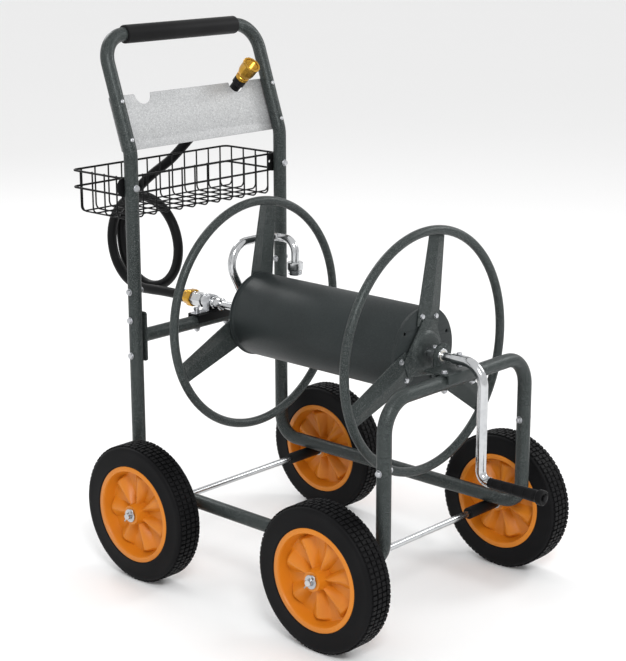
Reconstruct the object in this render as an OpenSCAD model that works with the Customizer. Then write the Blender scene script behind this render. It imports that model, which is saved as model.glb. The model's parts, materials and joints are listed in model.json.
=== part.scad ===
// Four-wheel garden hose reel cart.
// +X is across the cart, +Y is towards the handle, +Z is up.
// The origin lies on the ground under the middle of the cart, its leader hose left out.

/* [Frame] */
// Outside diameter of the frame tubes
tube_d = 25; // [22:0.5:32]
// Wall of the frame tubes
tube_t = 1.5; // [1:0.1:2.5]
// Distance between the two side frames, tube centre to tube centre
frame_w = 380; // [300:5:460]
// Distance from the rear uprights to the front legs, centre to centre
frame_l = 592; // [560:1:720]
// Outside diameter of the axle sleeves under the side rails
sleeve_d = 21; // [18:0.5:30]
// Bend radius of the side frames
rail_bend_r = 40; // [30:1:50]
// Height where the handle frame plugs into the rear uprights
rear_joint_h = 541; // [530:1:600]
// Height where the front hoop plugs into the front legs
front_joint_h = 338; // [300:1:345]
// Bend radius of the front hoop
hoop_bend_r = 55; // [40:1:60]
// Length of the plug inside each tube joint
spigot_l = 45; // [35:1:60]

/* [Handle] */
// Height where the handle tilts back
handle_bend_h = 765; // [740:1:900]
// Angle of the tilted part from the vertical
handle_tilt = 19; // [10:1:30]
// Length of the tilted part, up to the centre of the top bar
handle_rise = 211; // [180:1:300]
// Bend radius of the handle's corners
handle_corner_r = 50; // [40:1:60]
// Bend radius where the handle tilts
handle_bend_r = 60; // [40:1:90]
// Length of the foam grip
grip_l = 276; // [100:1:278]
// Thickness of the foam
grip_t = 4.2; // [3:0.1:8]

/* [Tool panel] */
// Height of the panel along the tilted tubes
panel_h = 100; // [60:1:120]
// Distance from the tilt to the panel's lower edge
panel_start = 5; // [2:1:12]
// Thickness of the sheet
panel_t = 1.5; // [1:0.1:3]
// Width of the two round notches
notch_w = 37; // [25:1:45]
// Distance of the notches from the middle
notch_x = 118; // [60:1:130]

/* [Basket] */
// Outside width of the basket
basket_w = 398; // [320:1:460]
// Outside depth of the basket
basket_d = 143; // [110:1:200]
// Height of the top rim's centre
basket_top_h = 718; // [700:1:740]
// Height from the top rim to the floor wires
basket_drop = 78; // [60:1:100]
// Height from the top rim to the second ring
ring_drop = 31; // [20:1:40]
// Diameter of the rim wires
rim_wire_d = 4; // [3:0.5:6]
// Diameter of the mesh wires
mesh_wire_d = 3; // [2:0.5:4]
// Number of wires that run from front to back
long_wires = 12; // [6:1:14]
// Number of wires that run from side to side
cross_wires = 4; // [3:1:6]

/* [Reel] */
// Height of the reel's axis
axis_h = 459; // [440:1:520]
// Distance from the frame's middle forward to the drum's middle
reel_shift = 26; // [0:1:40]
// Outside diameter of the drum
drum_d = 150; // [110:1:180]
// Length of the drum
drum_l = 386; // [320:1:390]
// Wall of the drum
drum_t = 1.5; // [1:0.1:3]
// Outside diameter of the flange hoops
flange_d = 432; // [340:1:480]
// Tube diameter of the flange hoops
flange_tube_d = 16; // [12:0.5:22]
// Distance from each drum end out to its hoop's centre plane
flange_out = 7; // [6:0.5:9]
// Width of a spoke at the hub
spoke_hub_w = 56; // [40:1:60]
// Width of a spoke at the hoop
spoke_rim_w = 39; // [24:1:48]
// Thickness of the spokes, end plates and hub plates
sheet_t = 2.5; // [1.5:0.1:4]
// Radius of the circle that the spoke bolts stand on
spoke_bolt_r = 61; // [50:1:66]
// Distance between the two bolts of a spoke
spoke_bolt_w = 37; // [24:1:42]
// Angle by which the spokes are turned at rest
reel_turn = 8; // [0:1:30]

/* [Shaft and crank] */
// Diameter of the reel shaft
shaft_d = 14; // [12:0.5:18]
// Outside diameter of the crank tube
crank_d = 18; // [17:0.5:24]
// Distance from the shaft to the crank's grip
crank_throw = 200; // [140:1:205]
// Distance from the front legs out to the crank's arm
crank_out = 51; // [46:1:70]
// Bend radius at the crank's shaft end
crank_bend_r = 38; // [30:1:45]
// Bend radius at the crank's grip end
crank_low_bend_r = 18; // [16:1:30]
// Length of the crank's grip
crank_grip_l = 113; // [80:1:140]
// Diameter of the crank's grip at its outer end
crank_grip_d = 26; // [22:1:34]
// Diameter of the pin inside the crank's grip
crank_pin_d = 10; // [8:0.5:12]
// Length of the front bearing
bearing_l = 24; // [18:1:28]
// Wall of the front bearing's housing
bearing_t = 3; // [2:0.5:5]

/* [Water way] */
// Outside diameter of the swivel's turning stem
stem_d = 15; // [13:0.5:18]
// Outside diameter of the swivel's body
swivel_d = 25; // [24:0.5:32]
// Outside diameter of the gooseneck pipe
pipe_d = 15; // [12:0.5:16]
// Distance from the rear drum end back to the gooseneck
gooseneck_back = 26; // [22:1:34]
// Radius of the gooseneck's arch
arch_r = 39; // [30:1:45]
// Height of the gooseneck above the axis
gooseneck_h = 133; // [120:1:150]
// Distance of the gooseneck's outlet from the middle
outlet_x = 60; // [55:1:75]
// Radius of the two bends before the outlet
outlet_bend_r = 25; // [20:1:30]
// Diameter of the outlet's thread
outlet_thread_d = 26; // [24:0.5:30]
// Diameter of the swivel's inlet thread
inlet_thread_d = 26; // [24:0.5:30]

/* [Leader hose] */
// Outside diameter of the leader hose
hose_d = 19; // [16:0.5:20]
// Outside diameter of the brass coupling nuts
coupling_d = 34; // [32:0.5:40]
// Length of the coupling nut at the inlet
coupling_l = 22; // [20:1:28]
// Length of the coupling nut at the hose's far end
end_coupling_l = 40; // [34:1:46]
// Length of the crimped ferrules
ferrule_l = 14; // [12:1:30]

/* [Wheels] */
// Diameter of the tyres
wheel_d = 254; // [200:1:260]
// Width of the tyres
wheel_w = 52; // [40:1:60]
// Outside diameter of the rims
rim_d = 178; // [150:1:190]
// Distance between the wheels of an axle, centre to centre
track = 498; // [490:1:600]
// Distance between the axles
wheelbase = 442; // [400:1:500]
// Distance from the frame's middle back to the axles' middle
axle_shift = 2.5; // [0:0.5:10]
// Diameter of the axles
axle_d = 12; // [10:0.5:14]
// Width of the wheel hubs
hub_w = 60; // [56:1:70]

/* [Fasteners] */
// Diameter of the frame bolts
bolt_d = 6; // [5:0.5:8]
// Diameter of the panel screws
screw_d = 4; // [3:0.5:5]

/* [Fits] */
// Radial clearance of shafts and pins that turn
run_fit = 0.06; // [0.02:0.01:0.1]
// Radial clearance of bolts in their holes
bolt_fit = 0.2; // [0.1:0.05:0.5]
// Radial clearance of the tube joints' plugs
plug_fit = 0.15; // [0.05:0.05:0.4]
// Side clearance of parts that turn next to each other
side_gap = 0.5; // [0.3:0.1:1]
// Gap between wires that are welded where they cross
weld_gap = 0.05; // [0.02:0.01:0.1]

/* [Hidden] */
$fn = 48;

// colours
powder = "#4a5150";
dark = "#262829";
zinc = "#c3c6c8";
chrome = "#d8dbde";
brass = "#c89a3c";
orange = "#dd8626";

// the frame's middle is shifted so that the whole cart, without its hose, is centred on the origin
tube_r = tube_d / 2;
bracket_t = 2.5;
grip_end_gap = 2;
rear_reach = frame_l / 2 + tube_r + bracket_t + basket_d;
front_reach = frame_l / 2 + crank_out + crank_low_bend_r + grip_end_gap + crank_grip_l;
mid_y = (front_reach - rear_reach) / 2;
upright_y = mid_y + frame_l / 2;
leg_y = mid_y - frame_l / 2;
side_x = frame_w / 2;
rail_h = wheel_d / 2 + sleeve_d / 2 + tube_r;

// tube joints
bore_r = tube_r - tube_t;
plug_r = bore_r - plug_fit;
seam = 0.3;
joint_bolt_drop = 27;
bolt_r = bolt_d / 2;
head_h = bolt_d * 0.5;
nut_h = bolt_d * 0.8;

// reel supports: the crossbar and the front hoop's top lie below the axis by the same drop
saddle_t = 3;
support_drop = tube_r + saddle_t + 15.5;
support_h = axis_h - support_drop;
crossbar_bolt_z = 33;
end_plate_t = 4;
end_plate_h = 92;
end_plate_w = 26;
saddle_bolt_x = 38;
saddle_w = 92;

// tilted handle
tilt_setback = handle_bend_r * tan(handle_tilt / 2);
handle_dir = [0, sin(handle_tilt), cos(handle_tilt)];
panel_screw_inset = 15;

// basket
basket_front_y = upright_y + tube_r + bracket_t;
basket_y = basket_front_y + basket_d / 2;
rim_r = rim_wire_d / 2;
mesh_r = mesh_wire_d / 2;
rim_corner_r = 12;
mesh_bend_r = 10;
mesh_margin = 16;
floor_h = basket_top_h - basket_drop;
bracket_z = basket_top_h - ring_drop / 2;
bracket_w = 42;

// drum and flanges
drum_r = drum_d / 2;
reel_y = mid_y - reel_shift;
drum_front_y = reel_y - drum_l / 2;
drum_rear_y = reel_y + drum_l / 2;
hoop_r = (flange_d - flange_tube_d) / 2;
cap_r = drum_r + 2;
cap_plug_l = 14;
hub_plate_flat = 41.5;
hub_plate_tip = spoke_bolt_r - 4;
boss_r = 36;
boss_h = 6;
spoke_in_r = 48;
spoke_angles = [90, 210, 330];
// the spokes lie just outside the end plates and reach the nearest line of the hoop's tube
spoke_off = abs(flange_out - 2 * sheet_t);
spoke_out_r = hoop_r - sqrt(pow(flange_tube_d / 2, 2) - pow(spoke_off, 2));
hub_face = 3 * sheet_t;

// shaft, bearing and crank
shaft_r = shaft_d / 2;
shaft_in = 12;
bush_t = 2;
bearing_r = shaft_r + bush_t + bearing_t;
bearing_rear_y = drum_front_y - hub_face - boss_h - 6;
bearing_front_y = bearing_rear_y - bearing_l;
crank_arm_y = leg_y - crank_out;
crank_start_y = crank_arm_y + crank_bend_r;
crank_r = crank_d / 2;
crank_socket_l = 24;
crank_open_y = crank_start_y + crank_socket_l;
crank_pin_y = crank_arm_y - crank_low_bend_r;
grip_end_y = crank_pin_y - grip_end_gap - crank_grip_l;
crank_grip_neck_d = 18;
crank_bolt_d = 5;
bracket_plate_t = 4;
lock_screw_d = 8;
lock_screw_y = bearing_rear_y - 7.5;

// water way
stem_r = stem_d / 2;
stem_in = 14;
pipe_r = pipe_d / 2;
pipe_t = 1.5;
gooseneck_y = drum_rear_y + gooseneck_back;
swivel_r = swivel_d / 2;
swivel_front_y = upright_y - 30;
swivel_socket_l = 26;
swivel_rear_y = upright_y + 44;
strap_t = 2.5;
inlet_bore_r = 7;
outlet_drop = 22;
outlet_l = 18;

// gooseneck arch: a straight pipe leaves the stem and runs on into the arch without a corner
arch_c = [-arch_r * 0.15, gooseneck_h - arch_r];
arch_c_len = norm(arch_c);
arch_lean = asin(arch_r / arch_c_len);
arch_dir = atan2(arch_c[1], arch_c[0]) + arch_lean;
arch_run = sqrt(pow(arch_c_len, 2) - pow(arch_r, 2));

// couplings and hose
hose_r = hose_d / 2;
coupling_r = coupling_d / 2;
inlet_neck = 8;
end_neck = 12;
tail_flange_t = 2;
inlet_thread_l = coupling_l - inlet_neck - tail_flange_t - 2 * side_gap;
tail_r = 8.5;
tail_flange_r = 11;
ferrule_r = hose_r + 2.5;
inlet_nut_y = swivel_rear_y + side_gap;
inlet_ferrule_y = inlet_nut_y + coupling_l + side_gap;
hose_start_y = inlet_ferrule_y + ferrule_l;

// the leader hose leaves the inlet, hangs in one loop behind the basket and ends in the panel's notch
loop_c = [511, 545];
loop_r = 90;
loop_x0 = 3;
loop_turns = 1.25;
loop_step = 30;
loop_pitch = 25;
hose_lead = [[0, hose_start_y, axis_h], [0, hose_start_y + 15, axis_h], [0, 446, 458], [0, 480, 456]];
hose_tail = [[37, 599, 578], [42, 587, 610], [52, 563, 642], [66, 537, 670], [88, 511, 697],
    [106, 489, 727], [115, 459, 760], [118, 424, 790]];
end_slope = 45;
end_dir = [0, -cos(end_slope), sin(end_slope)];
hose_end = [118, 348.7, 857.5];

// wheels
wheel_r = wheel_d / 2;
wheel_rim_r = rim_d / 2;
axle_r = axle_d / 2;
axle_rear_y = mid_y + axle_shift + wheelbase / 2;
axle_front_y = mid_y + axle_shift - wheelbase / 2;
wheel_x = track / 2;
washer_t = 2;
sleeve_r = sleeve_d / 2;
sleeve_in = 137;
sleeve_out = wheel_x - hub_w / 2 - side_gap - washer_t - weld_gap;
hub_r = 18;
web_t = 9;
cotter_x = wheel_x + hub_w / 2 + side_gap + washer_t + 3;
axle_half = cotter_x + 5;
cotter_r = 1.4;
washer_r = 12;

// ---------- shared shapes ----------

// flat ring of a tube's section
module tube_section(d, t) {
    difference() {
        circle(d = d);
        circle(d = d - 2 * t);
    }
}

// straight tube from point p, in the drawing plane at angle a
module tube_run(p, a, l, d, t) {
    translate([p[0], p[1], 0]) rotate([0, 0, a]) rotate([0, 90, 0]) linear_extrude(l) tube_section(d, t);
}

// tube bend about centre c in the drawing plane
module tube_bend(c, r, a0, sweep, d, t) {
    translate([c[0], c[1], 0]) rotate([0, 0, a0]) rotate_extrude(angle = sweep) translate([r, 0])
        tube_section(d, t);
}

// slight bead that bridges the seam between two lengths of tube, in the drawing plane
module tube_bead(p, a, d, t) {
    bead = 0.1;
    translate([p[0], p[1], 0]) rotate([0, 0, a]) translate([-1, 0, 0])
        tube_run([0, 0], 0, 2, d + 2 * bead, t + 2 * bead);
}

// the drawing plane's x becomes Y and its y becomes Z
module side_plane(x) {
    translate([x, 0, 0]) rotate([90, 0, 90]) children();
}

// the drawing plane's x stays X and its y becomes Z
module cross_plane(y) {
    translate([0, y, 0]) rotate([90, 0, 0]) children();
}

// cylinder along X, Y or Z through a point, from lo to hi on that axis
module rod_x(y, z, lo, hi, r) {
    translate([lo, y, z]) rotate([0, 90, 0]) cylinder(h = hi - lo, r = r);
}

module rod_y(x, z, lo, hi, r) {
    translate([x, hi, z]) rotate([90, 0, 0]) cylinder(h = hi - lo, r = r);
}

module rod_z(x, y, lo, hi, r) {
    translate([x, y, lo]) cylinder(h = hi - lo, r = r);
}

// bolt along +Z: its head is below the origin and its nut starts at height grip
module bolt(d, grip) {
    translate([0, 0, -d * 0.5]) cylinder(h = d * 0.5, r1 = d * 0.6, r2 = d);
    cylinder(h = grip + d * 1.1, r = d / 2);
    translate([0, 0, grip]) cylinder(h = d * 0.8, r = d * 0.95, $fn = 6);
}

// the same bolt along +X from x = lo, or along -X when dir is -1
module bolt_along_x(lo, y, z, d, grip, dir) {
    translate([lo, y, z]) rotate([0, 90 * dir, 0]) bolt(d, grip);
}

// both sides of the cart, the right one mirrored
module both_sides() {
    children();
    mirror([1, 0, 0]) children();
}

// ---------- frame ----------

module side_frame(side) {
    color(powder) difference() {
        side_plane(side * side_x) {
            tube_run([upright_y, rail_h + rail_bend_r], 90, rear_joint_h - rail_h - rail_bend_r, tube_d, tube_t);
            tube_bend([upright_y - rail_bend_r, rail_h + rail_bend_r], rail_bend_r, -90, 90, tube_d, tube_t);
            tube_run([leg_y + rail_bend_r, rail_h], 0, frame_l - 2 * rail_bend_r, tube_d, tube_t);
            tube_bend([leg_y + rail_bend_r, rail_h + rail_bend_r], rail_bend_r, 180, 90, tube_d, tube_t);
            tube_run([leg_y, rail_h + rail_bend_r], 90, front_joint_h - rail_h - rail_bend_r, tube_d, tube_t);
        }
        for (p = [[upright_y, rear_joint_h - joint_bolt_drop], [leg_y, front_joint_h - joint_bolt_drop],
            [upright_y, support_h + crossbar_bolt_z], [upright_y, support_h - crossbar_bolt_z]])
            rod_x(p[0], p[1], side * side_x - tube_d, side * side_x + tube_d, bolt_r + bolt_fit);
    }
}

module side_frame_left() side_frame(-1);

module side_frame_right() side_frame(1);

// reduced end that plugs into the tube below
module spigot(x, y, z) {
    translate([x, y, z - spigot_l]) linear_extrude(spigot_l + tube_t) tube_section(2 * plug_r, tube_t);
    translate([x, y, z]) linear_extrude(tube_t) tube_section(tube_d, tube_r - plug_r + tube_t);
}

module front_hoop() {
    color(powder) difference() {
        union() {
            cross_plane(leg_y) {
                tube_run([-side_x + hoop_bend_r, support_h], 0, frame_w - 2 * hoop_bend_r, tube_d, tube_t);
                for (s = [-1, 1]) {
                    tube_run([s * side_x, front_joint_h + tube_t], 90,
                        support_h - hoop_bend_r - front_joint_h - tube_t, tube_d, tube_t);
                    tube_bend([s * (side_x - hoop_bend_r), support_h - hoop_bend_r], hoop_bend_r,
                        s > 0 ? 0 : 90, 90, tube_d, tube_t);
                }
            }
            for (s = [-1, 1]) spigot(s * side_x, leg_y, front_joint_h);
        }
        for (s = [-1, 1]) {
            rod_x(leg_y, front_joint_h - joint_bolt_drop, s * side_x - tube_d, s * side_x + tube_d,
                bolt_r + bolt_fit);
            rod_z(s * saddle_bolt_x, leg_y, support_h - tube_d, support_h + tube_d, bolt_r + bolt_fit);
        }
    }
}

// the tilted plane of the handle: x stays X and y runs up the tilt from where it starts
module tilted_plane() {
    translate([0, upright_y, handle_bend_h]) rotate([-handle_tilt, 0, 0]) rotate([90, 0, 0]) children();
}

module handle_frame() {
    color(powder) difference() {
        union() {
            for (s = [-1, 1]) {
                spigot(s * side_x, upright_y, rear_joint_h);
                side_plane(s * side_x) {
                    tube_run([upright_y, rear_joint_h + tube_t], 90,
                        handle_bend_h - tilt_setback - rear_joint_h - tube_t - seam, tube_d, tube_t);
                    tube_bead([upright_y, handle_bend_h - tilt_setback - seam / 2], 90, tube_d, tube_t);
                    tube_bend([upright_y + handle_bend_r, handle_bend_h - tilt_setback], handle_bend_r,
                        180 - handle_tilt, handle_tilt, tube_d, tube_t);
                }
            }
            tilted_plane() {
                for (s = [-1, 1]) {
                    tube_bead([s * side_x, tilt_setback + seam / 2], 90, tube_d, tube_t);
                    tube_run([s * side_x, handle_rise - handle_corner_r], -90,
                        handle_rise - handle_corner_r - tilt_setback - seam, tube_d, tube_t);
                    tube_bend([s * (side_x - handle_corner_r), handle_rise - handle_corner_r],
                        handle_corner_r, s > 0 ? 0 : 90, 90, tube_d, tube_t);
                }
                tube_run([-side_x + handle_corner_r, handle_rise], 0, frame_w - 2 * handle_corner_r,
                    tube_d, tube_t);
            }
        }
        for (s = [-1, 1]) {
            rod_x(upright_y, rear_joint_h - joint_bolt_drop, s * side_x - tube_d, s * side_x + tube_d,
                bolt_r + bolt_fit);
            rod_y(s * side_x, bracket_z, upright_y - tube_d, upright_y + tube_d, bolt_r + bolt_fit);
        }
        tilted_plane() panel_screw_places()
            translate([0, 0, -tube_d]) cylinder(h = 2 * tube_d, d = screw_d + 2 * bolt_fit);
    }
}

module handle_grip() {
    color(dark) tilted_plane() tube_run([-grip_l / 2, handle_rise], 0, grip_l, tube_d + 2 * grip_t, grip_t);
}

// ---------- tool panel ----------

module panel_screw_places() {
    for (s = [-1, 1], h = [panel_start + panel_screw_inset, panel_start + panel_h - panel_screw_inset])
        translate([s * side_x, h, 0]) children();
}

module tool_panel() {
    color("#c3c5c5") tilted_plane() difference() {
        translate([0, 0, -tube_r - panel_t]) linear_extrude(panel_t) difference() {
            translate([-side_x - tube_r * 0.6, panel_start]) square([frame_w + tube_r * 1.2, panel_h]);
            for (s = [-1, 1]) translate([s * notch_x, panel_start + panel_h]) circle(d = notch_w);
        }
        panel_screw_places() translate([0, 0, -tube_d]) cylinder(h = tube_d, d = screw_d + 2 * bolt_fit);
    }
}

module panel_screws() {
    color(zinc) tilted_plane() panel_screw_places() {
        translate([0, 0, tube_r]) cylinder(h = screw_d * 0.7, r1 = screw_d, r2 = screw_d * 0.6);
        translate([0, 0, -tube_r - panel_t - screw_d]) cylinder(h = tube_d + panel_t + screw_d, d = screw_d);
        translate([0, 0, -tube_r - panel_t - screw_d * 0.8])
            cylinder(h = screw_d * 0.8, r = screw_d * 0.95, $fn = 6);
    }
}

// ---------- rear crossbar ----------

module rear_crossbar() {
    inner = side_x - tube_r;
    color(powder) difference() {
        union() {
            cross_plane(upright_y) tube_run([-inner + end_plate_t, support_h], 0, 2 * (inner - end_plate_t),
                tube_d, tube_t);
            both_sides() translate([-inner, upright_y - end_plate_w / 2, support_h - end_plate_h / 2])
                cube([end_plate_t, end_plate_w, end_plate_h]);
        }
        for (z = [-1, 1]) rod_x(upright_y, support_h + z * crossbar_bolt_z, -side_x, side_x, bolt_r + bolt_fit);
        for (s = [-1, 1]) rod_z(s * saddle_bolt_x, upright_y, support_h - tube_d, support_h + tube_d,
            bolt_r + bolt_fit);
    }
}

module crossbar_bolts() {
    color(zinc) both_sides() for (z = [-1, 1])
        bolt_along_x(-side_x - tube_r, upright_y, support_h + z * crossbar_bolt_z, bolt_d,
            tube_d + end_plate_t, 1);
}

module joint_bolts() {
    color(zinc) both_sides() {
        bolt_along_x(-side_x - tube_r, upright_y, rear_joint_h - joint_bolt_drop, bolt_d, tube_d, 1);
        bolt_along_x(-side_x - tube_r, leg_y, front_joint_h - joint_bolt_drop, bolt_d, tube_d, 1);
    }
}

// ---------- axles ----------

module axle_sleeves() {
    color(dark) both_sides() for (y = [axle_rear_y, axle_front_y]) difference() {
        rod_x(y, wheel_r, sleeve_in, sleeve_out, sleeve_r);
        rod_x(y, wheel_r, sleeve_in - 1, sleeve_out + 1, axle_r + run_fit);
    }
}

module axle(y) {
    color(chrome) difference() {
        rod_x(y, wheel_r, -axle_half, axle_half, axle_r);
        both_sides() cotter_place(y) cylinder(h = 4 * axle_r, r = cotter_r + bolt_fit, center = true);
    }
}

module axle_rear() axle(axle_rear_y);

module axle_front() axle(axle_front_y);

// a leaning place across the axle's end
module cotter_place(y) {
    translate([cotter_x, y, wheel_r]) rotate([40, 0, 0]) children();
}

module cotter_pins() {
    ring_r = 4;
    color(zinc) both_sides() for (y = [axle_rear_y, axle_front_y]) cotter_place(y) {
        translate([0, 0, -axle_r - 9]) cylinder(h = 2 * axle_r + 12, r = cotter_r);
        translate([0, 0, axle_r + 3 + ring_r]) rotate([0, 90, 0]) rotate_extrude() translate([ring_r, 0])
            circle(r = cotter_r);
    }
}

module washer(x, y) {
    difference() {
        rod_x(y, wheel_r, x, x + washer_t, washer_r);
        rod_x(y, wheel_r, x - 1, x + washer_t + 1, axle_r + bolt_fit);
    }
}

module axle_washers() {
    color(zinc) both_sides() for (y = [axle_rear_y, axle_front_y]) {
        washer(sleeve_out + weld_gap, y);
        washer(wheel_x + hub_w / 2 + side_gap, y);
    }
}

// ---------- wheels ----------

// one wheel's parts are turned about the origin and then stood on their axle's end
module wheel_place(side, y) {
    translate([side * wheel_x, y, wheel_r]) rotate([0, side * 90, 0]) children();
}

module rim(side, y) {
    lip = wheel_w / 2;
    color(orange) wheel_place(side, y) rotate_extrude() polygon([
        [axle_r + run_fit, -hub_w / 2], [hub_r, -hub_w / 2], [hub_r, -web_t / 2],
        [wheel_rim_r - 8, -web_t / 2], [wheel_rim_r - 6, -lip], [wheel_rim_r, -lip],
        [wheel_rim_r, lip], [wheel_rim_r - 6, lip], [wheel_rim_r - 8, web_t / 2],
        [hub_r, web_t / 2], [hub_r, hub_w / 2], [axle_r + run_fit, hub_w / 2]]);
}

module tyre(side, y) {
    lip = wheel_w / 2;
    color("#202122") wheel_place(side, y) rotate_extrude() polygon([
        [wheel_rim_r, -lip], [wheel_r - 7, -lip], [wheel_r - 3, -lip * 0.88], [wheel_r, -lip * 0.6],
        [wheel_r, lip * 0.6], [wheel_r - 3, lip * 0.88], [wheel_r - 7, lip], [wheel_rim_r, lip]]);
}

module rim_rear_left() rim(-1, axle_rear_y);

module rim_rear_right() rim(1, axle_rear_y);

module rim_front_left() rim(-1, axle_front_y);

module rim_front_right() rim(1, axle_front_y);

module tyre_rear_left() tyre(-1, axle_rear_y);

module tyre_rear_right() tyre(1, axle_rear_y);

module tyre_front_left() tyre(-1, axle_front_y);

module tyre_front_right() tyre(1, axle_front_y);

// ---------- basket ----------

// wire ring around the basket at height z
module rim_ring(z) {
    w = basket_w - rim_wire_d;
    d = basket_d - rim_wire_d;
    long = w - 2 * rim_corner_r;
    short = d - 2 * rim_corner_r;
    translate([0, basket_y, z]) {
        for (s = [-1, 1]) {
            translate([-long / 2, s * d / 2, 0]) rotate([0, 90, 0]) cylinder(h = long, r = rim_r);
            translate([s * w / 2, -short / 2, 0]) rotate([-90, 0, 0]) cylinder(h = short, r = rim_r);
        }
        for (c = [[0, 1, 1], [90, -1, 1], [180, -1, -1], [270, 1, -1]])
            translate([c[1] * long / 2, c[2] * short / 2, 0]) rotate(c[0])
                rotate_extrude(angle = 90) translate([rim_corner_r, 0]) circle(r = rim_r);
    }
}

// U-shaped wire in the drawing plane, with its floor at height z and legs up to the rim
module mesh_u(half, z) {
    top = basket_top_h + rim_r;
    for (s = [-1, 1]) {
        translate([s * half, z + mesh_bend_r, 0]) rotate([-90, 0, 0]) cylinder(h = top - z - mesh_bend_r, r = mesh_r);
        translate([s * (half - mesh_bend_r), z + mesh_bend_r, 0]) rotate([0, 0, s > 0 ? -90 : 180])
            rotate_extrude(angle = 90) translate([mesh_bend_r, 0]) circle(r = mesh_r);
    }
    translate([-half + mesh_bend_r, z, 0]) rotate([0, 90, 0]) cylinder(h = 2 * (half - mesh_bend_r), r = mesh_r);
}

module basket() {
    inset = rim_wire_d + weld_gap + mesh_r;
    half_w = basket_w / 2 - inset;
    half_d = basket_d / 2 - inset;
    long_pitch = 2 * (half_w - mesh_margin) / (long_wires - 1);
    cross_pitch = 2 * (half_d - mesh_margin) / (cross_wires - 1);
    color(dark) {
        rim_ring(basket_top_h);
        rim_ring(basket_top_h - ring_drop);
        for (i = [0:long_wires - 1]) translate([-half_w + mesh_margin + i * long_pitch, basket_y, 0])
            rotate([90, 0, 90]) mesh_u(half_d, floor_h);
        for (i = [0:cross_wires - 1]) translate([0, basket_y - half_d + mesh_margin + i * cross_pitch, 0])
            rotate([90, 0, 0]) mesh_u(half_w, floor_h + mesh_wire_d + weld_gap);
    }
}

module basket_brackets() {
    h = ring_drop + rim_wire_d;
    color(dark) for (s = [-1, 1]) difference() {
        translate([s * side_x - bracket_w / 2, upright_y + tube_r, bracket_z - h / 2])
            cube([bracket_w, bracket_t, h]);
        rod_y(s * side_x, bracket_z, upright_y, basket_front_y + 1, bolt_r + bolt_fit);
        rod_y(s * (side_x - bracket_w * 0.36), bracket_z, upright_y, basket_front_y + 1, bolt_r);
    }
}

module basket_bolts() {
    color(zinc) for (s = [-1, 1]) translate([s * side_x, upright_y - tube_r, bracket_z]) rotate([-90, 0, 0])
        bolt(bolt_d, tube_d + bracket_t);
}

// ---------- reel supports ----------

// folded plate that rides on a cross tube at y and is drawn along X
module saddle(y, back, front) {
    top = support_h + tube_r;
    difference() {
        union() {
            translate([-saddle_w / 2, y - front, top]) cube([saddle_w, front + back, saddle_t]);
            for (s = [-1, 1]) translate([-saddle_w / 2, s > 0 ? y + tube_r : y - tube_r - saddle_t, top - tube_r])
                cube([saddle_w, saddle_t, tube_r]);
        }
        for (s = [-1, 1]) rod_z(s * saddle_bolt_x, y, top - 1, top + saddle_t + 1, bolt_r + bolt_fit);
    }
}

module saddle_bolts(y, top_t) {
    top = support_h + tube_r + top_t;
    for (s = [-1, 1]) translate([s * saddle_bolt_x, y, top]) rotate([180, 0, 0]) bolt(bolt_d, tube_d + top_t);
}

module rear_saddle() {
    post_w = swivel_d - 1;
    post_top = axis_h - swivel_r;
    base = support_h + tube_r + saddle_t;
    color(dark) {
        saddle(upright_y, tube_r + saddle_t, tube_r + saddle_t);
        translate([-post_w / 2, upright_y - tube_r, base]) cube([post_w, tube_d, post_top - base]);
    }
}

module rear_saddle_bolts() {
    color(zinc) saddle_bolts(upright_y, saddle_t + strap_t);
}

// the swivel stands on the saddle: a socket for the turning stem, a waist and the inlet's thread
module swivel_body() {
    color(chrome) difference() {
        union() {
            rod_y(0, axis_h, swivel_front_y, upright_y - tube_r, swivel_r - 1);
            rod_y(0, axis_h, upright_y - tube_r, upright_y + tube_r, swivel_r);
            rod_y(0, axis_h, upright_y + tube_r, swivel_rear_y, swivel_r - 1);
            rod_y(0, axis_h, swivel_rear_y, swivel_rear_y + inlet_thread_l, inlet_thread_d / 2);
        }
        rod_y(0, axis_h, swivel_front_y - 1, swivel_front_y + swivel_socket_l, stem_r + run_fit);
        rod_y(0, axis_h, swivel_front_y, swivel_rear_y + inlet_thread_l + 1, inlet_bore_r);
    }
}

// strap over the swivel, held down by the saddle's own bolts
module swivel_clamp() {
    strap_w = 16;
    r = swivel_r + strap_t;
    base = support_h + tube_r + saddle_t;
    foot = saddle_w / 2 - r;
    color(zinc) difference() {
        union() {
            rod_y(0, axis_h, upright_y - strap_w / 2, upright_y + strap_w / 2, r);
            for (s = [-1, 1]) translate([s > 0 ? swivel_r : -r, upright_y - strap_w / 2, base])
                cube([strap_t, strap_w, axis_h - base]);
            for (s = [-1, 1]) translate([s > 0 ? swivel_r + strap_t : -r - foot, upright_y - strap_w / 2, base])
                cube([foot, strap_w, strap_t]);
        }
        for (s = [-1, 1]) rod_z(s * saddle_bolt_x, upright_y, base - 1, base + 5, bolt_r + bolt_fit);
        rod_y(0, axis_h, upright_y - strap_w, upright_y + strap_w, swivel_r);
        translate([-swivel_r, upright_y - strap_w, base - 1]) cube([swivel_d, 2 * strap_w, axis_h - base + 1]);
    }
}

// plate on the hoop's top run, an upright ear and the bearing's housing
module front_bearing_bracket() {
    base = support_h + tube_r;
    ear_y = bearing_front_y;
    ear_w = 44;
    reach = ear_y + bracket_plate_t - leg_y;
    color(dark) difference() {
        union() {
            saddle(leg_y, reach, tube_r + saddle_t);
            translate([-ear_w / 2, ear_y, base]) cube([ear_w, bracket_plate_t, axis_h - base]);
            rod_y(0, axis_h, ear_y, ear_y + bracket_plate_t, ear_w / 2);
            rod_y(0, axis_h, bearing_front_y, bearing_rear_y, bearing_r);
        }
        rod_y(0, axis_h, bearing_front_y - 1, bearing_rear_y + 1, shaft_r + bush_t);
        rod_z(0, lock_screw_y, axis_h - bearing_r - 1, axis_h, lock_screw_d / 2 + run_fit);
    }
}

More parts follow.
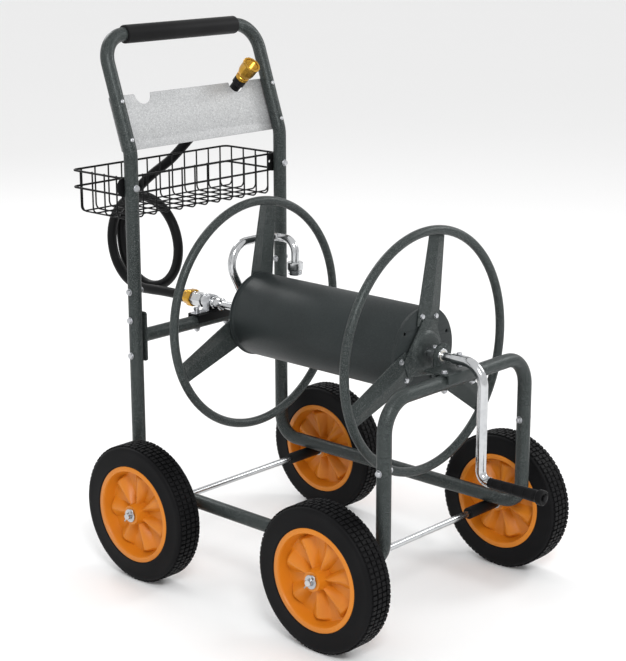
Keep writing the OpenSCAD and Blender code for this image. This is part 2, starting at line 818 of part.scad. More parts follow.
module bearing_bush() {
    color("#d9d7cf") difference() {
        rod_y(0, axis_h, bearing_front_y, bearing_rear_y, shaft_r + bush_t);
        rod_y(0, axis_h, bearing_front_y - 1, bearing_rear_y + 1, shaft_r + run_fit);
        rod_z(0, lock_screw_y, axis_h - bearing_r, axis_h, lock_screw_d / 2 + run_fit);
    }
}

module front_bracket_bolts() {
    color(zinc) saddle_bolts(leg_y, saddle_t);
}

// wing screw under the bearing that holds the reel still
module reel_lock_screw() {
    wing_z = axis_h - bearing_r - 12;
    color(zinc) {
        rod_z(0, lock_screw_y, wing_z, axis_h - shaft_r - side_gap, lock_screw_d / 2);
        rod_z(0, lock_screw_y, wing_z - 2, wing_z + 6, lock_screw_d * 0.8);
        for (s = [-1, 1]) translate([s * 6, lock_screw_y - 1.25, wing_z - 3]) rotate([0, s * 20, 0])
            translate([-3.5, 0, -5]) cube([7, 2.5, 12]);
    }
}

// ---------- reel ----------

module drum_shell() {
    color(powder) difference() {
        rod_y(0, axis_h, drum_front_y, drum_rear_y, drum_r);
        rod_y(0, axis_h, drum_front_y - 1, drum_rear_y + 1, drum_r - drum_t);
    }
}

// end parts are drawn outwards from the drum's end, along the drawing's +z
module drum_end(dir) {
    translate([0, dir > 0 ? drum_rear_y : drum_front_y, axis_h]) rotate([90, 0, dir > 0 ? 180 : 0]) children();
}

// angle of a spoke in the drawing of a drum end
function spoke_turn(dir, a) = a + dir * reel_turn;

// place of each spoke, its length along the drawing's +x
module spoke_places(dir) {
    for (a = spoke_angles) rotate([0, 0, spoke_turn(dir, a)]) children();
}

module spoke_holes(d) {
    for (s = [-1, 1]) translate([spoke_bolt_r, s * spoke_bolt_w / 2, -1]) cylinder(h = 4 * sheet_t, d = d);
}

module drum_cap(dir, hole_r) {
    color(powder) drum_end(dir) difference() {
        union() {
            cylinder(h = sheet_t, r = cap_r);
            translate([0, 0, -cap_plug_l]) cylinder(h = cap_plug_l, r = drum_r - drum_t - weld_gap);
        }
        translate([0, 0, -cap_plug_l - 1]) cylinder(h = cap_plug_l + 1, r = drum_r - 2 * drum_t - weld_gap);
        translate([0, 0, -1]) cylinder(h = sheet_t + 2, r = hole_r + weld_gap);
        spoke_places(dir) {
            spoke_holes(bolt_d + 2 * bolt_fit);
            rotate([0, 0, 60]) translate([spoke_bolt_r, 0, -1]) cylinder(h = sheet_t + 2, r = bolt_r);
        }
    }
}

module drum_cap_front() drum_cap(-1, shaft_r);

module drum_cap_rear() drum_cap(1, stem_r);

module spokes(dir) {
    color(powder) drum_end(dir) spoke_places(dir) translate([0, 0, sheet_t]) difference() {
        linear_extrude(sheet_t) intersection() {
            polygon([[spoke_in_r, -spoke_hub_w / 2], [hub_plate_tip + 12, -spoke_hub_w / 2],
                [hoop_r, -spoke_rim_w / 2], [hoop_r, spoke_rim_w / 2],
                [hub_plate_tip + 12, spoke_hub_w / 2], [spoke_in_r, spoke_hub_w / 2]]);
            circle(r = spoke_out_r, $fn = 180);
        }
        spoke_holes(bolt_d + 2 * bolt_fit);
    }
}

module front_spokes() spokes(-1);

module rear_spokes() spokes(1);

module hub_plate(dir, hole_r) {
    color(powder) drum_end(dir) difference() {
        union() {
            translate([0, 0, 2 * sheet_t]) linear_extrude(sheet_t) rotate([0, 0, spoke_turn(dir, 90)])
                intersection() {
                    circle(r = 2 * hub_plate_flat, $fn = 3);
                    rotate([0, 0, 60]) circle(r = 2 * hub_plate_tip, $fn = 3);
                }
            translate([0, 0, 2 * sheet_t]) cylinder(h = sheet_t + boss_h, r1 = boss_r + boss_h, r2 = boss_r - 6);
        }
        translate([0, 0, sheet_t]) cylinder(h = 2 * sheet_t + boss_h + 1, r = hole_r + weld_gap);
    }
}

module front_hub_plate() hub_plate(-1, shaft_r);

module rear_hub_plate() hub_plate(1, stem_r);

module flange_hoop(dir) {
    color(powder) drum_end(dir) translate([0, 0, flange_out]) rotate_extrude() translate([hoop_r, 0])
        circle(d = flange_tube_d);
}

module flange_hoop_front() flange_hoop(-1);

module flange_hoop_rear() flange_hoop(1);

module spoke_bolts() {
    color(zinc) for (dir = [-1, 1]) drum_end(dir) spoke_places(dir) for (s = [-1, 1])
        translate([spoke_bolt_r, s * spoke_bolt_w / 2, 2 * sheet_t]) rotate([180, 0, 0])
            bolt(bolt_d * 0.8, 2 * sheet_t);
}

module reel_shaft() {
    color(chrome) difference() {
        rod_y(0, axis_h, crank_start_y + 2, drum_front_y + shaft_in, shaft_r);
        rod_z(0, crank_open_y - crank_socket_l / 2, axis_h - 2 * crank_r, axis_h + 2 * crank_r,
            crank_bolt_d / 2 + bolt_fit);
    }
}

module swivel_stem() {
    color(chrome) difference() {
        rod_y(0, axis_h, drum_rear_y - stem_in, swivel_front_y + swivel_socket_l - side_gap, stem_r);
        rod_y(0, axis_h, gooseneck_y - pipe_r, swivel_front_y + swivel_socket_l, stem_r - pipe_t - 1);
        translate([0, gooseneck_y, axis_h]) rotate([0, 90 - arch_dir, 0]) cylinder(h = stem_d, r = pipe_r - pipe_t);
    }
}

// the pipe leaves the stem, arches over and comes down inside the flange
module gooseneck_pipe() {
    color(chrome) difference() {
        union() {
            cross_plane(gooseneck_y) translate([0, axis_h, 0]) {
                tube_run([0, 0], arch_dir, arch_run - seam, pipe_d, pipe_t);
                tube_bead((arch_run - seam / 2) * [cos(arch_dir), sin(arch_dir)], arch_dir, pipe_d, pipe_t);
                tube_bend(arch_c, arch_r, 90, arch_dir, pipe_d, pipe_t);
                tube_run([arch_c[0], gooseneck_h], 0, outlet_x - outlet_bend_r - arch_c[0], pipe_d, pipe_t);
            }
            translate([0, gooseneck_y, axis_h + gooseneck_h])
                tube_bend([outlet_x - outlet_bend_r, -outlet_bend_r], outlet_bend_r, 0, 90, pipe_d, pipe_t);
            side_plane(outlet_x) translate([0, axis_h + gooseneck_h, 0]) {
                tube_run([gooseneck_y - outlet_bend_r, 0], 180, outlet_l / 2, pipe_d, pipe_t);
                tube_bend([gooseneck_y - outlet_bend_r - outlet_l / 2, -outlet_bend_r], outlet_bend_r, 90, 90,
                    pipe_d, pipe_t);
                tube_run([gooseneck_y - 2 * outlet_bend_r - outlet_l / 2, -outlet_bend_r], -90, outlet_drop,
                    pipe_d, pipe_t);
            }
        }
        rod_y(0, axis_h, gooseneck_y - stem_d, gooseneck_y + stem_d, stem_r + weld_gap);
    }
}

// threaded end where the garden hose is screwed on
module outlet_fitting() {
    y = gooseneck_y - 2 * outlet_bend_r - outlet_l / 2;
    top = axis_h + gooseneck_h - outlet_bend_r - outlet_drop;
    color(chrome) difference() {
        union() {
            rod_z(outlet_x, y, top - outlet_l, top, outlet_thread_d / 2);
            translate([outlet_x, y, top]) cylinder(h = 6, r = outlet_thread_d / 2 + 2, $fn = 6);
        }
        rod_z(outlet_x, y, top - outlet_l - 1, top, pipe_r - pipe_t);
        rod_z(outlet_x, y, top, top + 7, pipe_r + weld_gap);
    }
}

// ---------- crank ----------

module crank_arm() {
    low = axis_h - crank_throw;
    color(chrome) {
        difference() {
            union() {
                rod_y(0, axis_h, crank_start_y, crank_open_y, crank_r);
                side_plane(0) {
                    translate([crank_start_y, axis_h - crank_bend_r, 0]) rotate([0, 0, 90])
                        rotate_extrude(angle = 90) translate([crank_bend_r, 0]) circle(r = crank_r);
                    translate([crank_arm_y, low + crank_low_bend_r, 0]) rotate([-90, 0, 0])
                        cylinder(h = crank_throw - crank_bend_r - crank_low_bend_r, r = crank_r);
                    translate([crank_arm_y - crank_low_bend_r, low + crank_low_bend_r, 0]) rotate([0, 0, -90])
                        rotate_extrude(angle = 90) translate([crank_low_bend_r, 0]) circle(r = crank_r);
                }
            }
            rod_y(0, axis_h, crank_start_y + 1, crank_open_y + 1, shaft_r + weld_gap);
            rod_z(0, crank_open_y - crank_socket_l / 2, axis_h - 2 * crank_r, axis_h + 2 * crank_r,
                crank_bolt_d / 2 + bolt_fit);
        }
        rod_y(0, low, grip_end_y + 3, crank_pin_y, crank_pin_d / 2);
        rod_y(0, low, grip_end_y, grip_end_y + 3, crank_pin_d * 0.8);
    }
}

module crank_bolt() {
    color(zinc) translate([0, crank_open_y - crank_socket_l / 2, axis_h - crank_r]) bolt(crank_bolt_d, crank_d);
}

module crank_grip() {
    low = axis_h - crank_throw;
    far = grip_end_y + 3 + side_gap;
    near = crank_pin_y - grip_end_gap;
    color(dark) translate([0, near, low]) rotate([90, 0, 0]) difference() {
        union() {
            cylinder(h = near - far - 10, r1 = crank_grip_neck_d / 2, r2 = crank_grip_d / 2 - 1);
            translate([0, 0, near - far - 10]) cylinder(h = 10, r = crank_grip_d / 2);
        }
        translate([0, 0, -1]) cylinder(h = crank_grip_l + 2, r = crank_pin_d / 2 + run_fit);
    }
}

// ---------- couplings and leader hose ----------

// hose coupling nut along +z from its open mouth; its lip turns on the tail
function coupling_thread_l(l, neck) = l - neck - tail_flange_t - 2 * side_gap;

module coupling_nut(l, neck) {
    difference() {
        union() {
            cylinder(h = l - neck, r = coupling_r - 1.5);
            for (a = [0:60:300]) rotate([0, 0, a]) translate([coupling_r - 3, 0, 0])
                cylinder(h = l - neck - 2, r = 3);
            translate([0, 0, l - neck]) cylinder(h = neck, r1 = coupling_r - 1.5, r2 = tail_r + 4);
        }
        translate([0, 0, -1]) cylinder(h = l + 2, r = tail_r + run_fit);
        translate([0, 0, -1]) cylinder(h = l - neck + 1, r = tail_flange_r + side_gap);
        translate([0, 0, -1]) cylinder(h = coupling_thread_l(l, neck) + 1, r = inlet_thread_d / 2 + run_fit);
    }
}

// tail: a flange inside the nut, a neck through its lip and the crimped sleeve that holds the hose
module coupling_tail(l, neck) {
    flange_z = l - neck - side_gap - tail_flange_t;
    difference() {
        union() {
            translate([0, 0, flange_z]) cylinder(h = tail_flange_t, r = tail_flange_r);
            translate([0, 0, flange_z]) cylinder(h = l + side_gap - flange_z, r = tail_r);
            translate([0, 0, l + side_gap]) cylinder(h = ferrule_l, r = ferrule_r);
        }
        translate([0, 0, flange_z - 1]) cylinder(h = l + side_gap - flange_z + 1, r = tail_r - 2.5);
    }
}

module inlet_place() {
    translate([0, inlet_nut_y, axis_h]) rotate([-90, 0, 0]) children();
}

module inlet_ferrule() {
    color(dark) inlet_place() coupling_tail(coupling_l, inlet_neck);
}

module inlet_coupling_nut() {
    color(brass) inlet_place() coupling_nut(coupling_l, inlet_neck);
}

// the far coupling points forward and up through the right notch
module end_place() {
    translate(hose_end + (end_coupling_l + side_gap + ferrule_l) * end_dir) rotate([-90 - end_slope, 0, 0])
        children();
}

module hose_end_ferrule() {
    color(dark) end_place() coupling_tail(end_coupling_l, end_neck);
}

module hose_end_coupling() {
    color(brass) end_place() coupling_nut(end_coupling_l, end_neck);
}

// points along the loop, which drifts sideways so that its turns lie beside each other
loop_pts = [for (i = [0:1:floor(loop_turns * 360 / loop_step)]) let (a = i * loop_step)
    [loop_x0 + loop_pitch * a / 360, loop_c[0] + loop_r * sin(a), loop_c[1] - loop_r * cos(a)]];
hose_route = concat(hose_lead, loop_pts, hose_tail,
    [hose_end - 40 * end_dir, hose_end - 15 * end_dir, hose_end]);

function unit(v) = v / norm(v);

// closed tube swept along a route, its sections square to the route
module swept_tube(path, r, sides) {
    n = len(path);
    dirs = [for (i = [0:n - 1]) unit(path[min(n - 1, i + 1)] - path[max(0, i - 1)])];
    pts = [for (i = [0:n - 1]) let (u = unit(cross(dirs[i], [1, 0.15, 0.1])), w = cross(dirs[i], u))
        for (k = [0:sides - 1]) path[i] + r * (cos(k * 360 / sides) * u + sin(k * 360 / sides) * w)];
    walls = [for (i = [0:n - 2], k = [0:sides - 1]) let (k2 = (k + 1) % sides)
        for (f = [[i * sides + k, (i + 1) * sides + k, (i + 1) * sides + k2],
            [i * sides + k, (i + 1) * sides + k2, i * sides + k2]]) f];
    caps = [[for (k = [0:sides - 1]) k], [for (k = [sides - 1:-1:0]) (n - 1) * sides + k]];
    polyhedron(points = pts, faces = concat(walls, caps), convexity = 8);
}

module leader_hose() {
    color("#1d1e1f") swept_tube(hose_route, hose_r, 12);
}

side_frame_left();
side_frame_right();
front_hoop();
handle_frame();
handle_grip();
tool_panel();
panel_screws();
rear_crossbar();
crossbar_bolts();
joint_bolts();
axle_sleeves();
axle_rear();
axle_front();
axle_washers();
cotter_pins();
basket();
basket_brackets();
basket_bolts();
rear_saddle();
rear_saddle_bolts();
swivel_body();
swivel_clamp();
front_bearing_bracket();
bearing_bush();
front_bracket_bolts();
reel_lock_screw();
drum_shell();
drum_cap_front();
drum_cap_rear();
front_spokes();
rear_spokes();
front_hub_plate();
rear_hub_plate();
flange_hoop_front();
flange_hoop_rear();
spoke_bolts();
reel_shaft();
swivel_stem();
gooseneck_pipe();
outlet_fitting();
crank_arm();
crank_bolt();
crank_grip();
inlet_ferrule();
inlet_coupling_nut();
leader_hose();
hose_end_ferrule();
hose_end_coupling();
rim_rear_left();
rim_rear_right();
rim_front_left();
rim_front_right();
tyre_rear_left();
tyre_rear_right();
tyre_front_left();
tyre_front_right();
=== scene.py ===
"""Visual model of a four-wheel garden hose reel cart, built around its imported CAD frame."""

import json
import logging
import math
from dataclasses import dataclass, field
from enum import Enum
from typing import Any, Callable, Sequence

import bmesh
import bpy
from mathutils import Matrix, Vector

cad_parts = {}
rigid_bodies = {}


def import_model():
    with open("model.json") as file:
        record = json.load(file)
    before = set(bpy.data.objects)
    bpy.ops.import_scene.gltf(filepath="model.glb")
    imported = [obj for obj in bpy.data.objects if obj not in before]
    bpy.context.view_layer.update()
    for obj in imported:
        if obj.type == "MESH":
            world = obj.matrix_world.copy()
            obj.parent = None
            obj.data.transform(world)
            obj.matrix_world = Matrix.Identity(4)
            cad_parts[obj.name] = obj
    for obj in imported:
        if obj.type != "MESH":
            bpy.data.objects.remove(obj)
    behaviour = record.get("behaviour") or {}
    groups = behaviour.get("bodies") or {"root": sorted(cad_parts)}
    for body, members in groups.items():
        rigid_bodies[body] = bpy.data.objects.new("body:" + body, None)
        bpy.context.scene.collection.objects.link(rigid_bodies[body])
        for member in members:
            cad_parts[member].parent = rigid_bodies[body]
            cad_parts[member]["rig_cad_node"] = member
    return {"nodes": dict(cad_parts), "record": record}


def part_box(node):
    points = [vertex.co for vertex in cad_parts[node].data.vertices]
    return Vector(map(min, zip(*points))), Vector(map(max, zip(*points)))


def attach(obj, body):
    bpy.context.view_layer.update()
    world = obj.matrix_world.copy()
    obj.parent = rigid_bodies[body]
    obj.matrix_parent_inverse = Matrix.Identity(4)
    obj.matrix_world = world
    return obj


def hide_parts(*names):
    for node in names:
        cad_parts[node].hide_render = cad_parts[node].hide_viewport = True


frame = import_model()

log = logging.getLogger("cart")
MM = 0.001
Point = tuple[float, float, float]
Profile = Sequence[tuple[float, float]]


class Side(Enum):
    """A side of the cart, with the sign of its x."""

    LEFT = -1
    RIGHT = 1


class End(Enum):
    """An end of the cart or reel, with the sign of its y."""

    FRONT = -1
    REAR = 1


# ---------------------------------------------------------------- shader maths


class Value:
    """A shader socket with the arithmetic that the finishes use."""

    def __init__(self, book: "ShaderBook", socket: bpy.types.NodeSocket) -> None:
        """Wraps one output socket of a material's tree."""
        self.book = book
        self.socket = socket

    def _math(self, operation: str, a: Any, b: Any = 0.0) -> "Value":
        """Adds a Math node.

        Args:
            operation: the Math node's operation.
            a: first value or number.
            b: second value or number.

        Returns:
            The node's result.
        """
        return self.book.add("ShaderNodeMath", {"operation": operation}, {0: a, 1: b})

    def __add__(self, other: Any) -> "Value":
        """Sum."""
        return self._math("ADD", self, other)

    __radd__ = __add__

    def __mul__(self, other: Any) -> "Value":
        """Product."""
        return self._math("MULTIPLY", self, other)

    __rmul__ = __mul__

    def __sub__(self, other: Any) -> "Value":
        """Difference."""
        return self._math("SUBTRACT", self, other)

    def __rsub__(self, other: Any) -> "Value":
        """Difference, with the number first."""
        return self._math("SUBTRACT", other, self)

    def above(self, level: float) -> "Value":
        """1 where the value is above a level, and 0 elsewhere."""
        return self._math("GREATER_THAN", self, level)

    def ramp(self, low: float, high: float) -> "Value":
        """Rises smoothly from 0 at low to 1 at high.

        Args:
            low: value that gives 0.
            high: value that gives 1.

        Returns:
            The smooth step.
        """
        return self.book.add(
            "ShaderNodeMapRange",
            {"interpolation_type": "SMOOTHSTEP"},
            {"Value": self, "From Min": low, "From Max": high},
        )


class ShaderBook:
    """Builds one material's nodes around a Principled shader."""

    def __init__(self, name: str) -> None:
        """Starts an empty material with an output and a Principled shader."""
        self.material = bpy.data.materials.new(name)
        self.material.use_nodes = True
        self.tree = self.material.node_tree
        self.tree.nodes.clear()
        self.output = self.tree.nodes.new("ShaderNodeOutputMaterial")
        self.shader = self.tree.nodes.new("ShaderNodeBsdfPrincipled")
        self.tree.links.new(self.shader.outputs[0], self.output.inputs["Surface"])
        self.place = self.add("ShaderNodeTexCoord", {}, {}, output="Object")

    def feed(self, node: bpy.types.Node, sockets: dict[Any, Any]) -> None:
        """Sets or links a node's inputs.

        Args:
            node: the node whose inputs are fed.
            sockets: input name or number to a number, colour, vector or Value.
        """
        for key, value in sockets.items():
            if isinstance(value, Value):
                self.tree.links.new(value.socket, node.inputs[key])
            else:
                node.inputs[key].default_value = value

    def add(
        self, kind: str, settings: dict[str, Any], sockets: dict[Any, Any], output: Any = 0
    ) -> Value:
        """Adds a node of any type.

        Args:
            kind: the node's type.
            settings: properties, which are set first.
            sockets: inputs, as feed() takes them.
            output: name or number of the output that is returned.

        Returns:
            The chosen output.
        """
        node = self.tree.nodes.new(kind)
        for key, value in settings.items():
            setattr(node, key, value)
        self.feed(node, sockets)
        return Value(self, node.outputs[output])

    def noise(self, scale: float, detail: float = 2.0, roughness: float = 0.5) -> Value:
        """Noise over the object's own place.

        Args:
            scale: waves in a metre.
            detail: octaves.
            roughness: weight of the finer octaves.

        Returns:
            The noise, from 0 to 1.
        """
        return self.add(
            "ShaderNodeTexNoise",
            {},
            {"Vector": self.place, "Scale": scale, "Detail": detail, "Roughness": roughness},
        )

    def cells(self, scale: float, feature: str = "F1") -> Value:
        """Distance to the nearest of random points, or to the edge between two cells."""
        return self.add(
            "ShaderNodeTexVoronoi", {"feature": feature}, {"Vector": self.place, "Scale": scale}
        )

    def mix(self, factor: Any, a: Any, b: Any) -> Value:
        """Mixes two colours.

        Args:
            factor: 0 for a, 1 for b.
            a: first colour.
            b: second colour.

        Returns:
            The mixed colour.
        """
        node = self.tree.nodes.new("ShaderNodeMix")
        node.data_type = "RGBA"
        self.feed(node, {0: factor, 6: a, 7: b})
        return Value(self, node.outputs[2])

    def bump(self, height: Value, depth: float, strength: float = 1.0) -> Value:
        """Turns a height into a normal.

        Args:
            height: the relief, from 0 to 1.
            depth: its depth in metres.
            strength: how much of it shows.

        Returns:
            The bent normal.
        """
        return self.add(
            "ShaderNodeBump", {}, {"Height": height, "Distance": depth, "Strength": strength}
        )

    def dress(self, sockets: dict[Any, Any]) -> bpy.types.Material:
        """Feeds the Principled shader and returns the material."""
        self.feed(self.shader, sockets)
        return self.material


def rgb(red: float, green: float, blue: float) -> tuple[float, float, float, float]:
    """A colour with full alpha."""
    return (red, green, blue, 1.0)


# ---------------------------------------------------------------- finishes


@dataclass(frozen=True)
class PowderCoat:
    """Dark hammered coat with fine silver flecks that show in the highlights."""

    name: str = "powder_coat"
    slot: str = "powder_coat"
    base: tuple = rgb(0.019, 0.0245, 0.024)
    fleck: tuple = rgb(0.36, 0.385, 0.38)
    fleck_share: float = 0.6
    roughness: float = 0.36
    metallic: float = 0.35
    relief: float = 0.00006

    def build(self) -> bpy.types.Material:
        """Makes the material."""
        book = ShaderBook(self.name)
        grain = book.noise(1300.0, 2.0, 0.6)
        cell = book.cells(520.0)
        cloud = book.noise(9.0, 2.0)
        fleck = grain.ramp(0.52, 0.72) * self.fleck_share
        tone = book.mix(cloud.ramp(0.3, 0.7), self.base, tuple(c * 1.25 for c in self.base[:3]) + (1.0,))
        return book.dress(
            {
                "Base Color": book.mix(fleck, tone, self.fleck),
                "Metallic": self.metallic,
                "Specular IOR Level": 0.25,
                "Roughness": self.roughness + cell * 0.12 - fleck * 0.1,
                "Normal": book.bump(cell * 0.6 + grain * 0.4, self.relief, 0.7),
            }
        )


@dataclass(frozen=True)
class SpeckledSheet:
    """Light grey coat with fine light and dark speckles."""

    name: str = "panel_steel"
    slot: str = "panel_steel"
    base: tuple = rgb(0.36, 0.365, 0.37)
    dark: tuple = rgb(0.13, 0.135, 0.14)
    light: tuple = rgb(0.66, 0.67, 0.67)

    def build(self) -> bpy.types.Material:
        """Makes the material."""
        book = ShaderBook(self.name)
        fine = book.noise(700.0, 2.0, 0.65)
        patch = book.noise(260.0, 2.0, 0.6)
        tone = book.mix(fine.ramp(0.44, 0.3) * 0.7, self.base, self.dark)
        tone = book.mix(fine.ramp(0.54, 0.68) * 0.8, tone, self.light)
        return book.dress(
            {
                "Base Color": book.mix(patch.ramp(0.35, 0.7) * 0.25, tone, self.light),
                "Metallic": 0.15,
                "Roughness": 0.42 + fine * 0.2,
                "Normal": book.bump(fine, 0.00012, 0.6),
            }
        )


@dataclass(frozen=True)
class BareMetal:
    """Bright metal: chrome, zinc or brass, with faint stains and fine scratches."""

    name: str
    slot: str
    base: tuple
    stain: tuple
    roughness: float
    grain: float = 1400.0
    relief: float = 0.00003

    def build(self) -> bpy.types.Material:
        """Makes the material."""
        book = ShaderBook(self.name)
        stain = book.noise(60.0, 4.0, 0.6)
        fine = book.noise(self.grain, 2.0)
        return book.dress(
            {
                "Base Color": book.mix(stain.ramp(0.45, 0.75) * 0.55, self.base, self.stain),
                "Metallic": 1.0,
                "Roughness": self.roughness + stain * 0.08 + fine * 0.05,
                "Normal": book.bump(fine, self.relief, 0.4),
            }
        )


@dataclass(frozen=True)
class SoftBlack:
    """Black rubber, foam, plastic or satin paint with a fine grain."""

    name: str
    slot: str
    base: tuple
    roughness: float
    grain: float
    relief: float
    dust: float = 0.25
    sheen: float = 0.0
    shine: float = 0.1

    def build(self) -> bpy.types.Material:
        """Makes the material."""
        book = ShaderBook(self.name)
        pores = book.cells(self.grain)
        fine = book.noise(self.grain * 0.6, 3.0, 0.6)
        cloud = book.noise(14.0, 3.0)
        lighter = tuple(c * 1.9 + 0.004 for c in self.base[:3]) + (1.0,)
        return book.dress(
            {
                "Base Color": book.mix(cloud.ramp(0.4, 0.8) * self.dust + fine * 0.1, self.base, lighter),
                "Roughness": self.roughness + fine * 0.12,
                "Normal": book.bump(pores * 0.5 + fine * 0.5, self.relief, 0.6),
                "Sheen Weight": self.sheen,
                "Specular IOR Level": self.shine,
            }
        )


@dataclass(frozen=True)
class MouldedPlastic:
    """Coloured moulded plastic with a soft gloss and faint flow marks."""

    name: str = "rim_plastic"
    slot: str = "rim_plastic"
    base: tuple = rgb(0.6, 0.19, 0.009)
    deep: tuple = rgb(0.36, 0.095, 0.005)

    def build(self) -> bpy.types.Material:
        """Makes the material."""
        book = ShaderBook(self.name)
        flow = book.noise(18.0, 3.0)
        grain = book.noise(1500.0, 2.0)
        return book.dress(
            {
                "Base Color": book.mix(flow.ramp(0.45, 0.85) * 0.35, self.base, self.deep),
                "Specular IOR Level": 0.35,
                "Roughness": 0.3 + flow * 0.1 + grain * 0.06,
                "Normal": book.bump(grain, 0.00005, 0.5),
            }
        )


class Finishes:
    """Every finish of the cart, each made into a material once."""

    ALL: tuple = (
        PowderCoat(),
        PowderCoat(
            "drum_coat", "powder_coat", rgb(0.018, 0.0225, 0.023), rgb(0.1, 0.11, 0.108), 0.4, 0.44, 0.2
        ),
        SpeckledSheet(),
        BareMetal("zinc_fasteners", "zinc_fasteners", rgb(0.5, 0.51, 0.53), rgb(0.33, 0.34, 0.35), 0.26),
        BareMetal("chrome_parts", "chrome_parts", rgb(0.56, 0.57, 0.58), rgb(0.36, 0.37, 0.39), 0.08),
        BareMetal("brass_parts", "brass_parts", rgb(0.56, 0.31, 0.045), rgb(0.3, 0.145, 0.02), 0.2),
        SoftBlack("black_paint", "black_paint", rgb(0.006, 0.0062, 0.0065), 0.36, 1500.0, 0.00005),
        SoftBlack("grip_foam", "grip_foam", rgb(0.006, 0.006, 0.0065), 0.46, 1300.0, 0.00012, 0.3, 0.03),
        SoftBlack("grip_rubber", "grip_rubber", rgb(0.004, 0.004, 0.0045), 0.42, 1600.0, 0.00006),
        SoftBlack("hose_rubber", "hose_rubber", rgb(0.005, 0.0052, 0.0056), 0.34, 1300.0, 0.00006),
        SoftBlack("ferrule_black", "ferrule_black", rgb(0.01, 0.01, 0.011), 0.4, 1500.0, 0.00004),
        SoftBlack("tyre_rubber", "tyre_rubber", rgb(0.0035, 0.0035, 0.004), 0.5, 1100.0, 0.0001, 0.3, 0.0),
        SoftBlack("bush_plastic", "bush_plastic", rgb(0.6, 0.58, 0.52), 0.4, 1500.0, 0.00004),
        MouldedPlastic(),
    )

    def __init__(self) -> None:
        """Builds all the materials."""
        self.materials = {finish.name: finish.build() for finish in self.ALL}
        self.slots = {finish.name: finish.slot for finish in self.ALL}

    def paint(self, piece: bpy.types.Object, name: str) -> bpy.types.Object:
        """Gives a piece one finish.

        Args:
            piece: a mesh object.
            name: the finish.

        Returns:
            The same piece.
        """
        piece.data.materials.clear()
        piece.data.materials.append(self.materials[name])
        for polygon in piece.data.polygons:
            polygon.material_index = 0
        return piece


# ---------------------------------------------------------------- meshes


def new_piece(name: str, mesh: bpy.types.Mesh, sharp_deg: float = 38.0) -> bpy.types.Object:
    """Links a mesh as a piece with smooth faces and sharp corners.

    Args:
        name: the piece's name.
        mesh: its mesh, already in place.
        sharp_deg: edges that bend more than this stay sharp.

    Returns:
        The new object.
    """
    mesh.polygons.foreach_set("use_smooth", [True] * len(mesh.polygons))
    mesh.set_sharp_from_angle(angle=math.radians(sharp_deg))
    piece = bpy.data.objects.new(name, mesh)
    bpy.context.scene.collection.objects.link(piece)
    return piece


def from_bmesh(
    name: str, shape: bmesh.types.BMesh, place: Matrix, sharp_deg: float = 38.0
) -> bpy.types.Object:
    """Closes off a bmesh: doubles merged, normals outward, moved to its place."""
    bmesh.ops.remove_doubles(shape, verts=shape.verts, dist=1e-6)
    bmesh.ops.recalc_face_normals(shape, faces=shape.faces)
    mesh = bpy.data.meshes.new(name)
    shape.to_mesh(mesh)
    shape.free()
    mesh.transform(place)
    if place.determinant() < 0:
        mesh.flip_normals()
    return new_piece(name, mesh, sharp_deg)


def bake(piece: bpy.types.Object, name: str = "") -> bpy.types.Object:
    """Turns a piece with modifiers, or a curve, into a plain mesh piece.

    Args:
        piece: the object to convert; it is removed.
        name: the new piece's name, or "" to keep the old one.

    Returns:
        A mesh object at the origin.
    """
    name = name or piece.name
    piece.name = name + "_seed"
    bpy.context.view_layer.update()
    evaluated = piece.evaluated_get(bpy.context.evaluated_depsgraph_get())
    mesh = bpy.data.meshes.new_from_object(evaluated)
    mesh.transform(piece.matrix_world)
    mesh.name = name
    bpy.data.objects.remove(piece)
    return new_piece(name, mesh)


def lathe(
    name: str,
    profile: Profile,
    place: Matrix,
    sides: int = 64,
    wave: Callable[[float, float, float], float] | None = None,
) -> bpy.types.Object:
    """Turns a profile about local Z into a closed piece.

    Args:
        name: the piece's name.
        profile: (radius, height) points; a radius of 0 closes on the axis.
        place: where local Z and the origin go.
        sides: faces around.
        wave: optional change of a point's radius from (angle, radius, height).

    Returns:
        The piece. A profile whose first and last radius aren't 0 is closed into a ring.
    """
    shape = bmesh.new()
    rings: list[list[bmesh.types.BMVert]] = []
    for radius, height in profile:
        ring = []
        for k in range(sides):
            angle = 2 * math.pi * k / sides
            r = wave(angle, radius, height) if wave and radius > 0 else radius
            ring.append(shape.verts.new((r * math.cos(angle), r * math.sin(angle), height)))
        rings.append(ring)
    hollow = profile[0][0] > 0 and profile[-1][0] > 0
    pairs = list(zip(rings, rings[1:])) + ([(rings[-1], rings[0])] if hollow else [])
    for low, high in pairs:
        for k in range(sides):
            n = (k + 1) % sides
            shape.faces.new((low[k], low[n], high[n], high[k]))
    bmesh.ops.remove_doubles(shape, verts=shape.verts, dist=1e-7)
    bmesh.ops.dissolve_degenerate(shape, edges=shape.edges, dist=1e-7)
    return from_bmesh(name, shape, place)


def along(start: Point, direction: Point, roll_deg: float = 0.0) -> Matrix:
    """Places local Z along a direction from a start point."""
    turn = Vector(direction).to_track_quat("Z", "Y").to_matrix().to_4x4()
    return Matrix.Translation(start) @ turn @ Matrix.Rotation(math.radians(roll_deg), 4, "Z")


def arc(cx: float, cy: float, r: float, a0: float, a1: float, steps: int = 12) -> list[tuple[float, float]]:
    """Points on a flat arc, from angle a0 to a1 in degrees."""
    return [
        (cx + r * math.cos(math.radians(a)), cy + r * math.sin(math.radians(a)))
        for a in (a0 + (a1 - a0) * i / steps for i in range(steps + 1))
    ]


def rounded(width: float, height: float, r: float) -> list[tuple[float, float]]:
    """Outline of a rectangle about the origin with rounded corners."""
    w, h = width / 2 - r, height / 2 - r
    return arc(w, h, r, 0, 90, 5) + arc(-w, h, r, 90, 180, 5) + arc(
        -w, -h, r, 180, 270, 5
    ) + arc(w, -h, r, 270, 360, 5)


